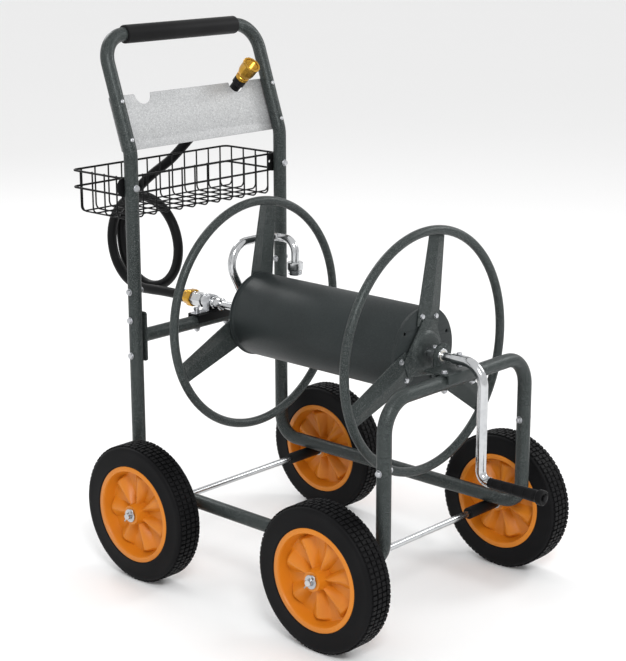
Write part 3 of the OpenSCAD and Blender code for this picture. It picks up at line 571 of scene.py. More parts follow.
def plate(
    name: str,
    outline: Sequence[tuple[float, float]],
    holes: Sequence[tuple[float, float, float]],
    thickness: float,
    place: Matrix,
    bevel: float = 0.0003,
) -> bpy.types.Object:
    """Cuts a sheet with round holes and slightly broken edges.

    Args:
        name: the piece's name.
        outline: its outline in the local XY plane.
        holes: (x, y, radius) of each hole.
        thickness: the sheet's thickness, centred on the local plane.
        place: where the local plane goes.
        bevel: size of the broken edge.

    Returns:
        The piece.
    """
    curve = bpy.data.curves.new(name, "CURVE")
    curve.dimensions = "2D"
    curve.fill_mode = "BOTH"
    curve.extrude = thickness / 2 - bevel
    curve.bevel_depth = bevel
    curve.bevel_resolution = 1
    curve.offset = -bevel
    loops = [list(outline)] + [arc(x, y, r, 0, 360, 28)[:-1] for x, y, r in holes]
    for loop in loops:
        spline = curve.splines.new("POLY")
        spline.points.add(len(loop) - 1)
        for point, (x, y) in zip(spline.points, loop):
            point.co = (x, y, 0, 1)
        spline.use_cyclic_u = True
    flat = bpy.data.objects.new(name + "_outline", curve)
    bpy.context.scene.collection.objects.link(flat)
    bpy.context.view_layer.update()
    mesh = bpy.data.meshes.new_from_object(flat.evaluated_get(bpy.context.evaluated_depsgraph_get()))
    bpy.data.objects.remove(flat)
    shape = bmesh.new()
    shape.from_mesh(mesh)
    bpy.data.meshes.remove(mesh)
    return from_bmesh(name, shape, place, 30.0)


def join(name: str, pieces: Sequence[bpy.types.Object]) -> bpy.types.Object:
    """Joins pieces of one finish into one piece."""
    shape = bmesh.new()
    for piece in pieces:
        shape.from_mesh(piece.data)
    mesh = bpy.data.meshes.new(name)
    shape.to_mesh(mesh)
    shape.free()
    for piece in pieces:
        bpy.data.objects.remove(piece)
    return new_piece(name, mesh)


def bend_path(corners: Sequence[tuple[Point, float]], step_deg: float = 6.0) -> list[Vector]:
    """Runs a path through corner points, each rounded to its own bend radius.

    Args:
        corners: (point, bend radius) in order; the ends' radii are ignored.
        step_deg: angle between the points of a bend.

    Returns:
        The path's points.
    """
    spots = [Vector(p) for p, _ in corners]
    path = [spots[0]]
    for i in range(1, len(spots) - 1):
        back = (spots[i - 1] - spots[i]).normalized()
        ahead = (spots[i + 1] - spots[i]).normalized()
        radius = corners[i][1]
        turn = math.pi - back.angle(ahead)
        reach = radius * math.tan(turn / 2)
        middle = spots[i] + (back + ahead).normalized() * (radius / math.cos(turn / 2))
        first = spots[i] + back * reach - middle
        normal = first.cross(spots[i] + ahead * reach - middle).normalized()
        steps = max(3, round(math.degrees(turn) / step_deg))
        for k in range(steps + 1):
            path.append(middle + Matrix.Rotation(turn * k / steps, 3, normal) @ first)
    path.append(spots[-1])
    return path


def smooth_path(points: Sequence[Point], steps: int) -> list[Vector]:
    """A smooth curve through chosen points, with several points in each stretch."""
    spots = [Vector(p) for p in points]
    path = []
    for i in range(len(spots) - 1):
        a, b = spots[max(i - 1, 0)], spots[i]
        c, d = spots[i + 1], spots[min(i + 2, len(spots) - 1)]
        for k in range(steps):
            t = k / steps
            path.append(
                0.5 * (
                    2 * b + (c - a) * t + (
                        2 * a - 5 * b + 4 * c - d
                    ) * t**2 + (3 * b - a - 3 * c + d) * t**3
                )
            )
    path.append(spots[-1])
    return path


# ---------------------------------------------------------------- geometry nodes


class GrowthTree:
    """A Geometry Nodes tree with named inputs, written node by node."""

    def __init__(self, name: str, inputs: dict[str, str]) -> None:
        """Starts a tree.

        Args:
            name: the tree's name.
            inputs: label of each input to its socket type, without "NodeSocket".
        """
        self.tree = bpy.data.node_groups.new(name, "GeometryNodeTree")
        face = self.tree.interface
        face.new_socket("Geometry", in_out="INPUT", socket_type="NodeSocketGeometry")
        for label, kind in inputs.items():
            face.new_socket(label, in_out="INPUT", socket_type="NodeSocket" + kind)
        face.new_socket("Geometry", in_out="OUTPUT", socket_type="NodeSocketGeometry")
        self.given = self.tree.nodes.new("NodeGroupInput").outputs
        self.result = self.tree.nodes.new("NodeGroupOutput").inputs[0]

    def add(
        self,
        kind: str,
        sockets: dict[Any, Any] | None = None,
        settings: dict[str, Any] | None = None,
        output: Any = 0,
    ) -> bpy.types.NodeSocket:
        """Adds a node.

        Args:
            kind: the node's type.
            sockets: input name or number to a value or another node's output.
            settings: properties, which are set first.
            output: name or number of the output that is returned.

        Returns:
            The chosen output socket.
        """
        node = self.tree.nodes.new(kind)
        for key, value in (settings or {}).items():
            setattr(node, key, value)
        for key, value in (sockets or {}).items():
            if isinstance(value, bpy.types.NodeSocket):
                self.tree.links.new(value, node.inputs[key])
            else:
                node.inputs[key].default_value = value
        return node.outputs[output]

    def math(self, operation: str, a: Any, b: Any = 0.0) -> bpy.types.NodeSocket:
        """Adds a Math node on two numbers or sockets."""
        return self.add("ShaderNodeMath", {0: a, 1: b}, {"operation": operation})

    def finish(self, geometry: bpy.types.NodeSocket, material: bpy.types.NodeSocket) -> None:
        """Ends the tree in Realize Instances and Set Material."""
        real = self.add("GeometryNodeRealizeInstances", {"Geometry": geometry})
        painted = self.add("GeometryNodeSetMaterial", {"Geometry": real, "Material": material})
        self.tree.links.new(painted, self.result)

    def grow(self, name: str, seed: bpy.types.Object, values: dict[str, Any]) -> bpy.types.Object:
        """Runs the tree on a seed object and keeps the plain mesh.

        Args:
            name: the new piece's name.
            seed: the object that carries the modifier; it is removed.
            values: label of each input to its value.

        Returns:
            The grown piece.
        """
        modifier = seed.modifiers.new("grow", "NODES")
        modifier.node_group = self.tree
        for item in self.tree.interface.items_tree:
            if item.item_type == "SOCKET" and item.in_out == "INPUT" and item.name in values:
                modifier[item.identifier] = values[item.name]
        return bake(seed, name)


class Workshop:
    """The trees that make tubes, fasteners and tyre lugs."""

    def __init__(self, finishes: Finishes) -> None:
        """Builds each tree once."""
        self.finishes = finishes
        self.tube_tree = self._tube_tree()
        self.scatter_tree = self._scatter_tree()
        self.ring_tree = self._ring_tree()

    @staticmethod
    def _tube_tree() -> GrowthTree:
        """Sweeps a round section along every line of a curve."""
        tree = GrowthTree("tube", {"Radius": "Float", "Sides": "Int", "Material": "Material"})
        section = tree.add(
            "GeometryNodeCurvePrimitiveCircle", {
                "Resolution": tree.given["Sides"], "Radius": tree.given["Radius"]
            }
        )
        swept = tree.add(
            "GeometryNodeCurveToMesh", {
                "Curve": tree.given["Geometry"], "Profile Curve": section, "Fill Caps": True
            }
        )
        tree.finish(swept, tree.given["Material"])
        return tree

    @staticmethod
    def _scatter_tree() -> GrowthTree:
        """Puts one object on every point, turned to the point's own direction and roll."""
        tree = GrowthTree("scatter", {"Item": "Object", "Material": "Material"})
        aim = tree.add("GeometryNodeInputNamedAttribute", {"Name": "aim"}, {"data_type": "FLOAT_VECTOR"})
        roll = tree.add("GeometryNodeInputNamedAttribute", {"Name": "roll"}, {"data_type": "FLOAT"})
        facing = tree.add("FunctionNodeAlignRotationToVector", {"Vector": aim}, {"axis": "Z"})
        spin = tree.add("FunctionNodeAxisAngleToRotation", {"Axis": (0, 0, 1), "Angle": roll})
        turned = tree.add(
            "FunctionNodeRotateRotation", {
                "Rotation": facing, "Rotate By": spin
            }, {"rotation_space": "LOCAL"}
        )
        item = tree.add("GeometryNodeObjectInfo", {"Object": tree.given["Item"]}, output="Geometry")
        placed = tree.add(
            "GeometryNodeInstanceOnPoints", {
                "Points": tree.given["Geometry"], "Instance": item, "Rotation": turned
            }
        )
        tree.finish(placed, tree.given["Material"])
        return tree

    @staticmethod
    def _ring_tree() -> GrowthTree:
        """Sets rows of one object around local X, every other row half a step on."""
        tree = GrowthTree(
            "lug_rows",
            {
                "Item": "Object", "Rows": "Int", "In Row": "Int", "Radius": "Float", "Pitch": "Float",
                "Material": "Material"
            },
        )
        given = tree.given
        total = tree.math("MULTIPLY", given["Rows"], given["In Row"])
        points = tree.add("GeometryNodePoints", {"Count": total, "Radius": 0.001})
        index = tree.add("GeometryNodeInputIndex")
        row = tree.math("FLOOR", tree.math("DIVIDE", index, given["In Row"]))
        shift = tree.math("MULTIPLY", tree.math("MODULO", row, 2.0), 0.5)
        step = tree.math("ADD", tree.math("MODULO", index, given["In Row"]), shift)
        angle = tree.math("MULTIPLY", tree.math("DIVIDE", step, given["In Row"]), 2 * math.pi)
        middle = tree.math("DIVIDE", tree.math("SUBTRACT", given["Rows"], 1.0), 2.0)
        x = tree.math("MULTIPLY", tree.math("SUBTRACT", row, middle), given["Pitch"])
        y = tree.math("MULTIPLY", tree.math("COSINE", angle), given["Radius"])
        z = tree.math("MULTIPLY", tree.math("SINE", angle), given["Radius"])
        spot = tree.add("ShaderNodeCombineXYZ", {"X": x, "Y": y, "Z": z})
        set_ = tree.add("GeometryNodeSetPosition", {"Geometry": points, "Position": spot})
        lean = tree.math("SUBTRACT", angle, math.pi / 2)
        turn = tree.add("FunctionNodeAxisAngleToRotation", {"Axis": (1, 0, 0), "Angle": lean})
        item = tree.add("GeometryNodeObjectInfo", {"Object": given["Item"]}, output="Geometry")
        placed = tree.add(
            "GeometryNodeInstanceOnPoints", {"Points": set_, "Instance": item, "Rotation": turn}
        )
        both = tree.add("GeometryNodeJoinGeometry", {"Geometry": given["Geometry"]})
        tree.tree.links.new(placed, both.node.inputs[0])
        tree.finish(both, given["Material"])
        return tree

    def tube(
        self, name: str, paths: Sequence[
            Sequence[Vector]
        ], radius: float, finish: str, closed: bool = False, sides: int = 24
    ) -> bpy.types.Object:
        """Makes round tubes or wires along paths.

        Args:
            name: the piece's name.
            paths: one list of points for each tube.
            radius: the tubes' radius.
            finish: the finish's name.
            closed: whether each path is a closed loop.
            sides: faces around.

        Returns:
            The piece.
        """
        curve = bpy.data.curves.new(name, "CURVE")
        curve.dimensions = "3D"
        curve.twist_mode = "MINIMUM"
        for path in paths:
            spline = curve.splines.new("POLY")
            spline.points.add(len(path) - 1)
            for point, spot in zip(spline.points, path):
                point.co = (*spot, 1)
            spline.use_cyclic_u = closed
        seed = bpy.data.objects.new(name, curve)
        bpy.context.scene.collection.objects.link(seed)
        material = self.finishes.materials[finish]
        piece = self.tube_tree.grow(name, seed, {"Radius": radius, "Sides": sides, "Material": material})
        return self.finishes.paint(piece, finish)

    def scatter(
        self, name: str, item: bpy.types.Object, places: Sequence[tuple[Point, Point, float]], finish: str
    ) -> bpy.types.Object:
        """Sets copies of an item at places.

        Args:
            name: the piece's name.
            item: the master object, which stays out of the scene.
            places: (point, direction of the item's Z, roll in degrees).
            finish: the finish's name.

        Returns:
            The piece with every copy.
        """
        mesh = bpy.data.meshes.new(name + "_places")
        mesh.from_pydata([p for p, _, _ in places], [], [])
        mesh.attributes.new("aim", "FLOAT_VECTOR", "POINT")
        mesh.attributes.new("roll", "FLOAT", "POINT")
        for k, (_, direction, turn) in enumerate(places):
            mesh.attributes["aim"].data[k].vector = direction
            mesh.attributes["roll"].data[k].value = math.radians(turn)
        seed = bpy.data.objects.new(name, mesh)
        bpy.context.scene.collection.objects.link(seed)
        material = self.finishes.materials[finish]
        piece = self.scatter_tree.grow(name, seed, {"Item": item, "Material": material})
        return self.finishes.paint(piece, finish)

    def rows(
        self,
        name: str,
        item: bpy.types.Object,
        base: bpy.types.Object,
        place: Matrix,
        finish: str,
        **sizes: Any,
    ) -> bpy.types.Object:
        """Adds rows of an item around local X to a base piece and moves both to their place."""
        material = self.finishes.materials[finish]
        piece = self.ring_tree.grow(name, base, {"Item": item, "Material": material, **sizes})
        piece.data.transform(place)
        return self.finishes.paint(piece, finish)


# ---------------------------------------------------------------- the frame's places


def node_middle(node: str) -> Vector:
    """Centre of a CAD node's box."""
    low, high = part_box(node)
    return (low + high) / 2


def node_size(node: str) -> Vector:
    """Size of a CAD node's box."""
    low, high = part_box(node)
    return high - low


@dataclass
class Layout:
    """Places read from the CAD frame, in metres, and the few bends that its boxes don't tell."""

    side_x: float = 0.0
    tube_r: float = 0.0
    upright_y: float = 0.0
    leg_y: float = 0.0
    rail_z: float = 0.0
    cross_z: float = 0.0
    axis_z: float = 0.0
    rear_joint_z: float = 0.0
    front_joint_z: float = 0.0
    handle_bend_z: float = 765 * MM
    handle_tilt: float = math.radians(19)
    rail_bend: float = 40 * MM
    hoop_bend: float = 55 * MM
    handle_bend: float = 60 * MM
    corner_bend: float = 50 * MM

    def __post_init__(self) -> None:
        """Reads the places from the CAD nodes' boxes."""
        side = node_middle("side_frame_right")
        low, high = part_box("side_frame_right")
        self.side_x = side.x
        self.tube_r = node_size("side_frame_right").x / 2
        self.upright_y = node_middle("rear_crossbar").y
        self.leg_y = node_middle("front_hoop").y
        self.rail_z = low.z + self.tube_r
        self.cross_z = node_middle("rear_crossbar").z
        self.axis_z = node_middle("drum_shell").z
        self.rear_joint_z = high.z
        self.front_joint_z = self.rear_joint_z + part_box("front_hoop")[0].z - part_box("handle_frame")[0].z

    def tilted(self, x: float, up: float, out: float = 0.0) -> Vector:
        """A point on the handle's tilted plane.

        Args:
            x: across the cart.
            up: along the tilt, from where it starts.
            out: forwards, square to the plane.

        Returns:
            The point.
        """
        s, c = math.sin(self.handle_tilt), math.cos(self.handle_tilt)
        return Vector((x, self.upright_y + up * s - out * c, self.handle_bend_z + up * c + out * s))

    def tilt_place(self, out: float) -> Matrix:
        """Matrix that puts a flat outline on the tilted plane, at a distance forwards."""
        origin = self.tilted(0, 0, out)
        turn = Matrix.Rotation(-self.handle_tilt, 4, "X") @ Matrix.Rotation(math.radians(90), 4, "X")
        return Matrix.Translation(origin) @ turn


def ride(piece: bpy.types.Object, body: str, *nodes: str) -> bpy.types.Object:
    """Makes a piece ride on a body in place of its CAD nodes, and logs it."""
    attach(piece, body)
    if nodes:
        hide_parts(*nodes)
    log.info("%s rides on %s: %d faces", piece.name, body, len(piece.data.polygons))
    return piece


# ---------------------------------------------------------------- fasteners


@dataclass
class Fasteners:
    """Bolts, nuts, screws and washers of the cart, set by the scatter tree."""

    shop: Workshop
    layout: Layout
    bolt_d: float = 6 * MM
    masters: dict[str, bpy.types.Object] = field(default_factory=dict)

    def _store(self, name: str, pieces: Sequence[bpy.types.Object]) -> bpy.types.Object:
        """Keeps a master item out of the scene."""
        item = join("master_" + name, pieces)
        bpy.context.scene.collection.objects.unlink(item)
        self.masters[name] = item
        return item

    def hex_prism(self, across: float, low: float, high: float, dome: float) -> bpy.types.Object:
        """A hexagon with chamfered corners and an optional dome on top."""
        r = across / math.sqrt(3)
        inner = across / 2
        wave = lambda a, radius, z: min(
            radius, inner / math.cos((a % (math.pi / 3)) - math.pi / 6)
        )
        profile = [
            (0, low), (r * 0.93, low), (r, low + 0.08 * across), (r, high - 0.1 * across),
            (inner * 0.96, high)
        ]
        profile += [(inner * 0.6, high + dome * 0.8), (0, high + dome)]
        return lathe("hex", profile, Matrix.Identity(4), 48, wave)

    def washer(self, r: float, low: float, thick: float) -> bpy.types.Object:
        """A flat washer with broken edges."""
        e = thick * 0.25
        hole = self.bolt_d / 2
        profile = [
            (hole, low), (r - e, low), (r, low + e), (r, low + thick - e), (r - e, low + thick),
            (hole, low + thick)
        ]
        return lathe("washer", profile, Matrix.Identity(4), 40)

    def shank(self, r: float, low: float, high: float) -> bpy.types.Object:
        """A bolt's end with turned thread rings and a chamfer."""
        pitch = r / 2.5
        count = max(2, int((high - low) / pitch))
        profile: list[tuple[float, float]] = [(0, low)]
        for k in range(count):
            z = low + (high - low) * k / count
            profile += [(r * 0.86, z), (r, z + pitch * 0.45)]
        profile += [(r * 0.7, high), (0, high)]
        return lathe("shank", profile, Matrix.Identity(4), 24)

    def build(self) -> None:
        """Makes the master items."""
        d = self.bolt_d
        head = [self.washer(d * 1.05, 0, d * 0.16), self.hex_prism(d * 1.6, d * 0.16, d * 0.72, d * 0.06)]
        self._store("bolt_head", head)
        nut = [self.washer(d * 1.05, 0, d * 0.16), self.hex_prism(d * 1.6, d * 0.16, d * 0.8, 0.0)]
        nut.append(self.shank(d / 2, d * 0.7, d * 1.15))
        self._store("nut", nut)
        s = d * 0.8
        self._store(
            "small_head",
            [self.washer(s, 0, s * 0.14), self.hex_prism(s * 1.65, s * 0.14, s * 0.66, s * 0.05)]
        )
        q = 4 * MM
        cross = [
            (0, 0), (q, 0), (q, q * 0.14), (q * 0.9, q * 0.4), (q * 0.62, q * 0.62), (q * 0.3, q * 0.68),
            (0, q * 0.45)
        ]
        self._store("pan_head", [lathe("pan", cross, Matrix.Identity(4), 32)])
        self._store("wing_nut", self._wing_nut(d))

    def _wing_nut(self, d: float) -> list[bpy.types.Object]:
        """A wing nut: a conical hub, two rounded wings and the bolt's end."""
        hub = lathe(
            "hub", [
                (0, 0), (d, 0), (d, d * 0.15), (d * 0.72, d * 1.2), (0, d * 1.2)
            ], Matrix.Identity(4), 32
        )
        wings = []
        for sign in (-1, 1):
            outline = [
                (
                    sign * d * 0.5, d * 0.15
                ), (sign * d * 1.0, d * 0.3), (sign * d * 1.9, d * 1.3), (sign * d * 2.0, d * 1.8),
                (sign * d * 1.6, d * 2.05), (sign * d * 1.2, d * 1.85), (sign * d * 0.5, d * 1.05),
            ]
            turn = Matrix.Rotation(math.radians(90), 4, "X")
            wings.append(plate("wing", outline, [], d * 0.36, turn, d * 0.1))
        return [hub, *wings, self.shank(d / 2, d * 1.0, d * 1.7)]

    def set(
        self, name: str, master: str, places: Sequence[tuple[Point, Point, float]], body: str, *nodes: str
    ) -> None:
        """Sets copies of a master item.

        Args:
            name: the new piece's name.
            master: which item.
            places: (point on the bearing surface, outward direction, roll in degrees).
            body: the body that they ride on.
            nodes: the CAD nodes that they stand for.
        """
        ride(self.shop.scatter(name, self.masters[master], places, "zinc_fasteners"), body, *nodes)

    def frame_bolts(self) -> None:
        """Bolts across the tube joints, crossbar, basket and panel."""
        lay = self.layout
        drop, half = 27 * MM, lay.tube_r
        plate_t = 4 * MM
        heads, nuts = [], []
        for side in Side:
            x = side.value * lay.side_x
            out, back = (side.value, 0, 0), (-side.value, 0, 0)
            rows = [
                (lay.upright_y, lay.rear_joint_z - drop, 0.0),
                (lay.leg_y, lay.front_joint_z - drop, 0.0),
                (lay.upright_y, lay.cross_z + 33 * MM, plate_t),
                (lay.upright_y, lay.cross_z - 33 * MM, plate_t),
            ]
            for k, (y, z, extra) in enumerate(rows):
                heads.append(((x + side.value * half, y, z), out, 13.0 * k))
                nuts.append(((x - side.value * (half + extra), y, z), back, 21.0 * k))
        low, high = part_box("basket_brackets")
        z = (low.z + high.z) / 2
        for side in Side:
            heads.append(
                ((side.value * lay.side_x, lay.upright_y - half, z), (0, -1, 0), 10.0 * side.value)
            )
            nuts.append(((side.value * lay.side_x, high.y, z), (0, 1, 0), 25.0))
        self.set(
            "frame_bolt_heads", "bolt_head", heads, "cart", "crossbar_bolts", "joint_bolts", "basket_bolts"
        )
        self.set("frame_bolt_nuts", "nut", nuts, "cart")
        facing = lay.tilted(0, 0, 1) - lay.tilted(0, 0, 0)
        screws = [
            (tuple(lay.tilted(side.value * lay.side_x, up, half - 0.3 * MM)), tuple(facing), 30.0 * k)
            for side in Side
            for k, up in enumerate((20 * MM, 90 * MM))
        ]
        self.set("panel_screw_heads", "pan_head", screws, "cart", "panel_screws")

    def saddle_bolts(self) -> None:
        """Vertical bolts through both saddles, one with a wing nut."""
        lay = self.layout
        heads, nuts, wings = [], [], []
        for end, y, lift in ((End.REAR, lay.upright_y, 5.5 * MM), (End.FRONT, lay.leg_y, 3 * MM)):
            for x in (-38 * MM, 38 * MM):
                top = (x, y, lay.cross_z + lay.tube_r + lift)
                wing = end is End.REAR and x < 0
                (wings if wing else heads).append((top, (0, 0, 1), 20.0))
                nuts.append(((x, y, lay.cross_z - lay.tube_r), (0, 0, -1), 12.0))
        self.set(
            "saddle_bolt_heads", "bolt_head", heads, "cart", "rear_saddle_bolts", "front_bracket_bolts"
        )
        self.set("saddle_bolt_nuts", "nut", nuts, "cart")
        self.set("saddle_wing_nut", "wing_nut", wings, "cart")


# ---------------------------------------------------------------- frame


@dataclass
class CartFrame:
    """Side frames, front hoop, handle frame, crossbar, grip, panel and saddles."""

    shop: Workshop
    layout: Layout
    panel_h: float = 100 * MM
    panel_start: float = 5 * MM
    notch_x: float = 118 * MM
    notch_r: float = 18.5 * MM

    def tubes(self) -> None:
        """All frame tubes, each with its swaged joint."""
        lay = self.layout
        for side in Side:
            x = side.value * lay.side_x
            path = bend_path(
                [
                    ((x, lay.upright_y, lay.rear_joint_z), 0),
                    ((x, lay.upright_y, lay.rail_z), lay.rail_bend),
                    ((x, lay.leg_y, lay.rail_z), lay.rail_bend),
                    ((x, lay.leg_y, lay.front_joint_z), 0),
                ]
            )
            node = f"side_frame_{side.name.lower()}"
            ride(
                self.shop.tube(
                    f"side_tube_{side.name.lower()}", [path], lay.tube_r, "powder_coat", sides=40
                ),
                "cart", node
            )
        gap = 0.6 * MM
        hoop = bend_path(
            [
                ((-lay.side_x, lay.leg_y, lay.front_joint_z + gap), 0),
                ((-lay.side_x, lay.leg_y, lay.cross_z), lay.hoop_bend),
                ((lay.side_x, lay.leg_y, lay.cross_z), lay.hoop_bend),
                ((lay.side_x, lay.leg_y, lay.front_joint_z + gap), 0),
            ]
        )
        ride(
            self.shop.tube("front_hoop_tube", [hoop], lay.tube_r, "powder_coat", sides=40), "cart",
            "front_hoop"
        )
        top = node_middle("handle_grip")
        corners = []
        for side in Side:
            x = side.value * lay.side_x
            leg = [
                ((x, lay.upright_y, lay.rear_joint_z + gap), 0),
                ((x, lay.upright_y, lay.handle_bend_z), lay.handle_bend),
                ((x, top.y, top.z), lay.corner_bend),
            ]
            corners += leg if side is Side.LEFT else leg[::-1]
        ride(
            self.shop.tube("handle_tube", [bend_path(corners)], lay.tube_r, "powder_coat", sides=40),
            "cart", "handle_frame"
        )
        seams = []
        for side in Side:
            x = side.value * lay.side_x
            for y, z in ((lay.upright_y, lay.rear_joint_z), (lay.leg_y, lay.front_joint_z)):
                r = lay.tube_r
                seams.append(
                    lathe("seam",
                          [(0, -4 * MM), (r - 0.7 * MM, -4 * MM), (r - 0.7 * MM, 4 * MM), (0, 4 * MM)],
                          Matrix.Translation((x, y, z + gap / 2)), 40)
                )
        ride(self.shop.finishes.paint(join("tube_plugs", seams), "black_paint"), "cart")

    def crossbar(self) -> None:
        """Crossbar with its welded end plates."""
        lay = self.layout
        inner = lay.side_x - lay.tube_r
        plate_t, plate_w, plate_h = 4 * MM, 26 * MM, 92 * MM
        y, z, r = lay.upright_y, lay.cross_z, lay.tube_r
        bar = self.shop.tube(
            "crossbar_tube", [[Vector((-inner + plate_t, y, z)), Vector((inner - plate_t, y, z))]], r,
            "powder_coat", sides=40
        )
        parts = [bar]
        for side in Side:
            x = side.value * (inner - plate_t / 2)
            turn = Matrix.Rotation(math.radians(90), 4, "Y")
            parts.append(
                plate("end_plate", rounded(plate_h, plate_w, 5 * MM),
                      [(-33 * MM, 0, 3.2 * MM), (33 * MM, 0, 3.2 * MM)],
                      plate_t, Matrix.Translation((x, y, z)) @ turn, 0.6 * MM)
            )
            bead = [(r - 1 * MM + dx, dz) for dx, dz in arc(0, 0, 2.4 * MM, -90, 90, 6)]
            bead = [(r - 2 * MM, -2.4 * MM)] + [
                (a + 0.4 * MM, b) for a, b in bead
            ] + [(r - 2 * MM, 2.4 * MM)]
            wob = lambda a, radius, h: radius + 0.35 * MM * math.sin(17 * a) if radius > r else radius
            spot = (side.value * (inner - plate_t - 1.2 * MM), y, z)
            parts.append(lathe("weld", bead, along(spot, (1, 0, 0)), 120, wob))
        ride(
            self.shop.finishes.paint(join("rear_crossbar_bar", parts), "powder_coat"), "cart",
            "rear_crossbar"
        )

    def grip(self) -> None:
        """Foam sleeve with soft ends."""
        mid, size = node_middle("handle_grip"), node_size("handle_grip")
        r, half, e = size.z / 2, size.x / 2, 2.5 * MM
        inner = self.layout.tube_r
        profile = [(inner, -half)] + [(r - e + e * math.cos(a), -half + e - e * math.sin(a)) for a in
                                      (math.radians(d) for d in (90, 67, 45, 22, 0))]
        profile += [(r, 0.0)] + [(x, -z) for x, z in profile[::-1]]
        piece = lathe("foam_grip", profile, along(mid, (1, 0, 0)), 96)
        ride(self.shop.finishes.paint(piece, "grip_foam"), "cart", "handle_grip")

    def panel(self) -> None:
        """Sheet with two round notches in its top edge."""
        lay = self.layout
        low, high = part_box("tool_panel")
        half = (high.x - low.x) / 2
        top, bottom = self.panel_start + self.panel_h, self.panel_start
        outline: list[tuple[float, float]] = [
            (-half, bottom + 0.001), (-half + 0.001, bottom), (half - 0.001, bottom),
            (half, bottom + 0.001), (half, top - 0.003), (half - 0.003, top)
        ]
        for x in (self.notch_x, -self.notch_x):
            r, e = self.notch_r, 2 * MM
            outline += [(x + r + e, top), (x + r + 0.3 * e, top - 0.3 * e)]
            outline += arc(x, top - e * 0.6, r, -4, -176, 18)
            outline += [(x - r - 0.3 * e, top - 0.3 * e), (x - r - e, top)]
        outline += [(-half + 0.003, top), (-half, top - 0.003)]
        holes = [(s.value * lay.side_x, up, 2.2 * MM) for s in Side for up in (20 * MM, 90 * MM)]
        thick = 1.5 * MM
        piece = plate(
            "notched_panel", outline, holes, thick, lay.tilt_place(-lay.tube_r - thick / 2), 0.35 * MM
        )
        ride(self.shop.finishes.paint(piece, "panel_steel"), "cart", "tool_panel")

    def saddles(self) -> None:
        """Keep the CAD saddle and bearing bracket as bevelled copies."""
        for node, finish in (("rear_saddle", "black_paint"), ("front_bearing_bracket", "powder_coat")):
            copy_node(node, node + "_plate", self.shop.finishes, finish, 0.8 * MM)

    def build(self) -> None:
        """Builds the whole frame."""
        self.tubes()
        self.crossbar()
        self.grip()
        self.panel()
        self.saddles()


def copy_node(node: str, name: str, finishes: Finishes, finish: str, bevel: float) -> bpy.types.Object:
    """A bevelled copy of a CAD node that stands for it.

    Args:
        node: the CAD node.
        name: the copy's name.
        finishes: the cart's finishes.
        finish: the copy's finish.
        bevel: width of its broken edges.

    Returns:
        The copy.
    """
    source = frame["nodes"][node]
    shape = bmesh.new()
    shape.from_mesh(source.data)
    bmesh.ops.remove_doubles(shape, verts=shape.verts, dist=1e-6)
    bmesh.ops.dissolve_limit(shape, angle_limit=math.radians(1), verts=shape.verts, edges=shape.edges)
    piece = from_bmesh(name, shape, Matrix.Identity(4))
    rounding = piece.modifiers.new("edges", "BEVEL")
    rounding.width = bevel
    rounding.segments = 2
    rounding.limit_method = "ANGLE"
    rounding.angle_limit = math.radians(50)
    piece = bake(piece)
    body = next(b for b, nodes in frame["record"]["behaviour"]["bodies"].items() if node in nodes)
    return ride(finishes.paint(piece, finish), body, node)


# ---------------------------------------------------------------- basket


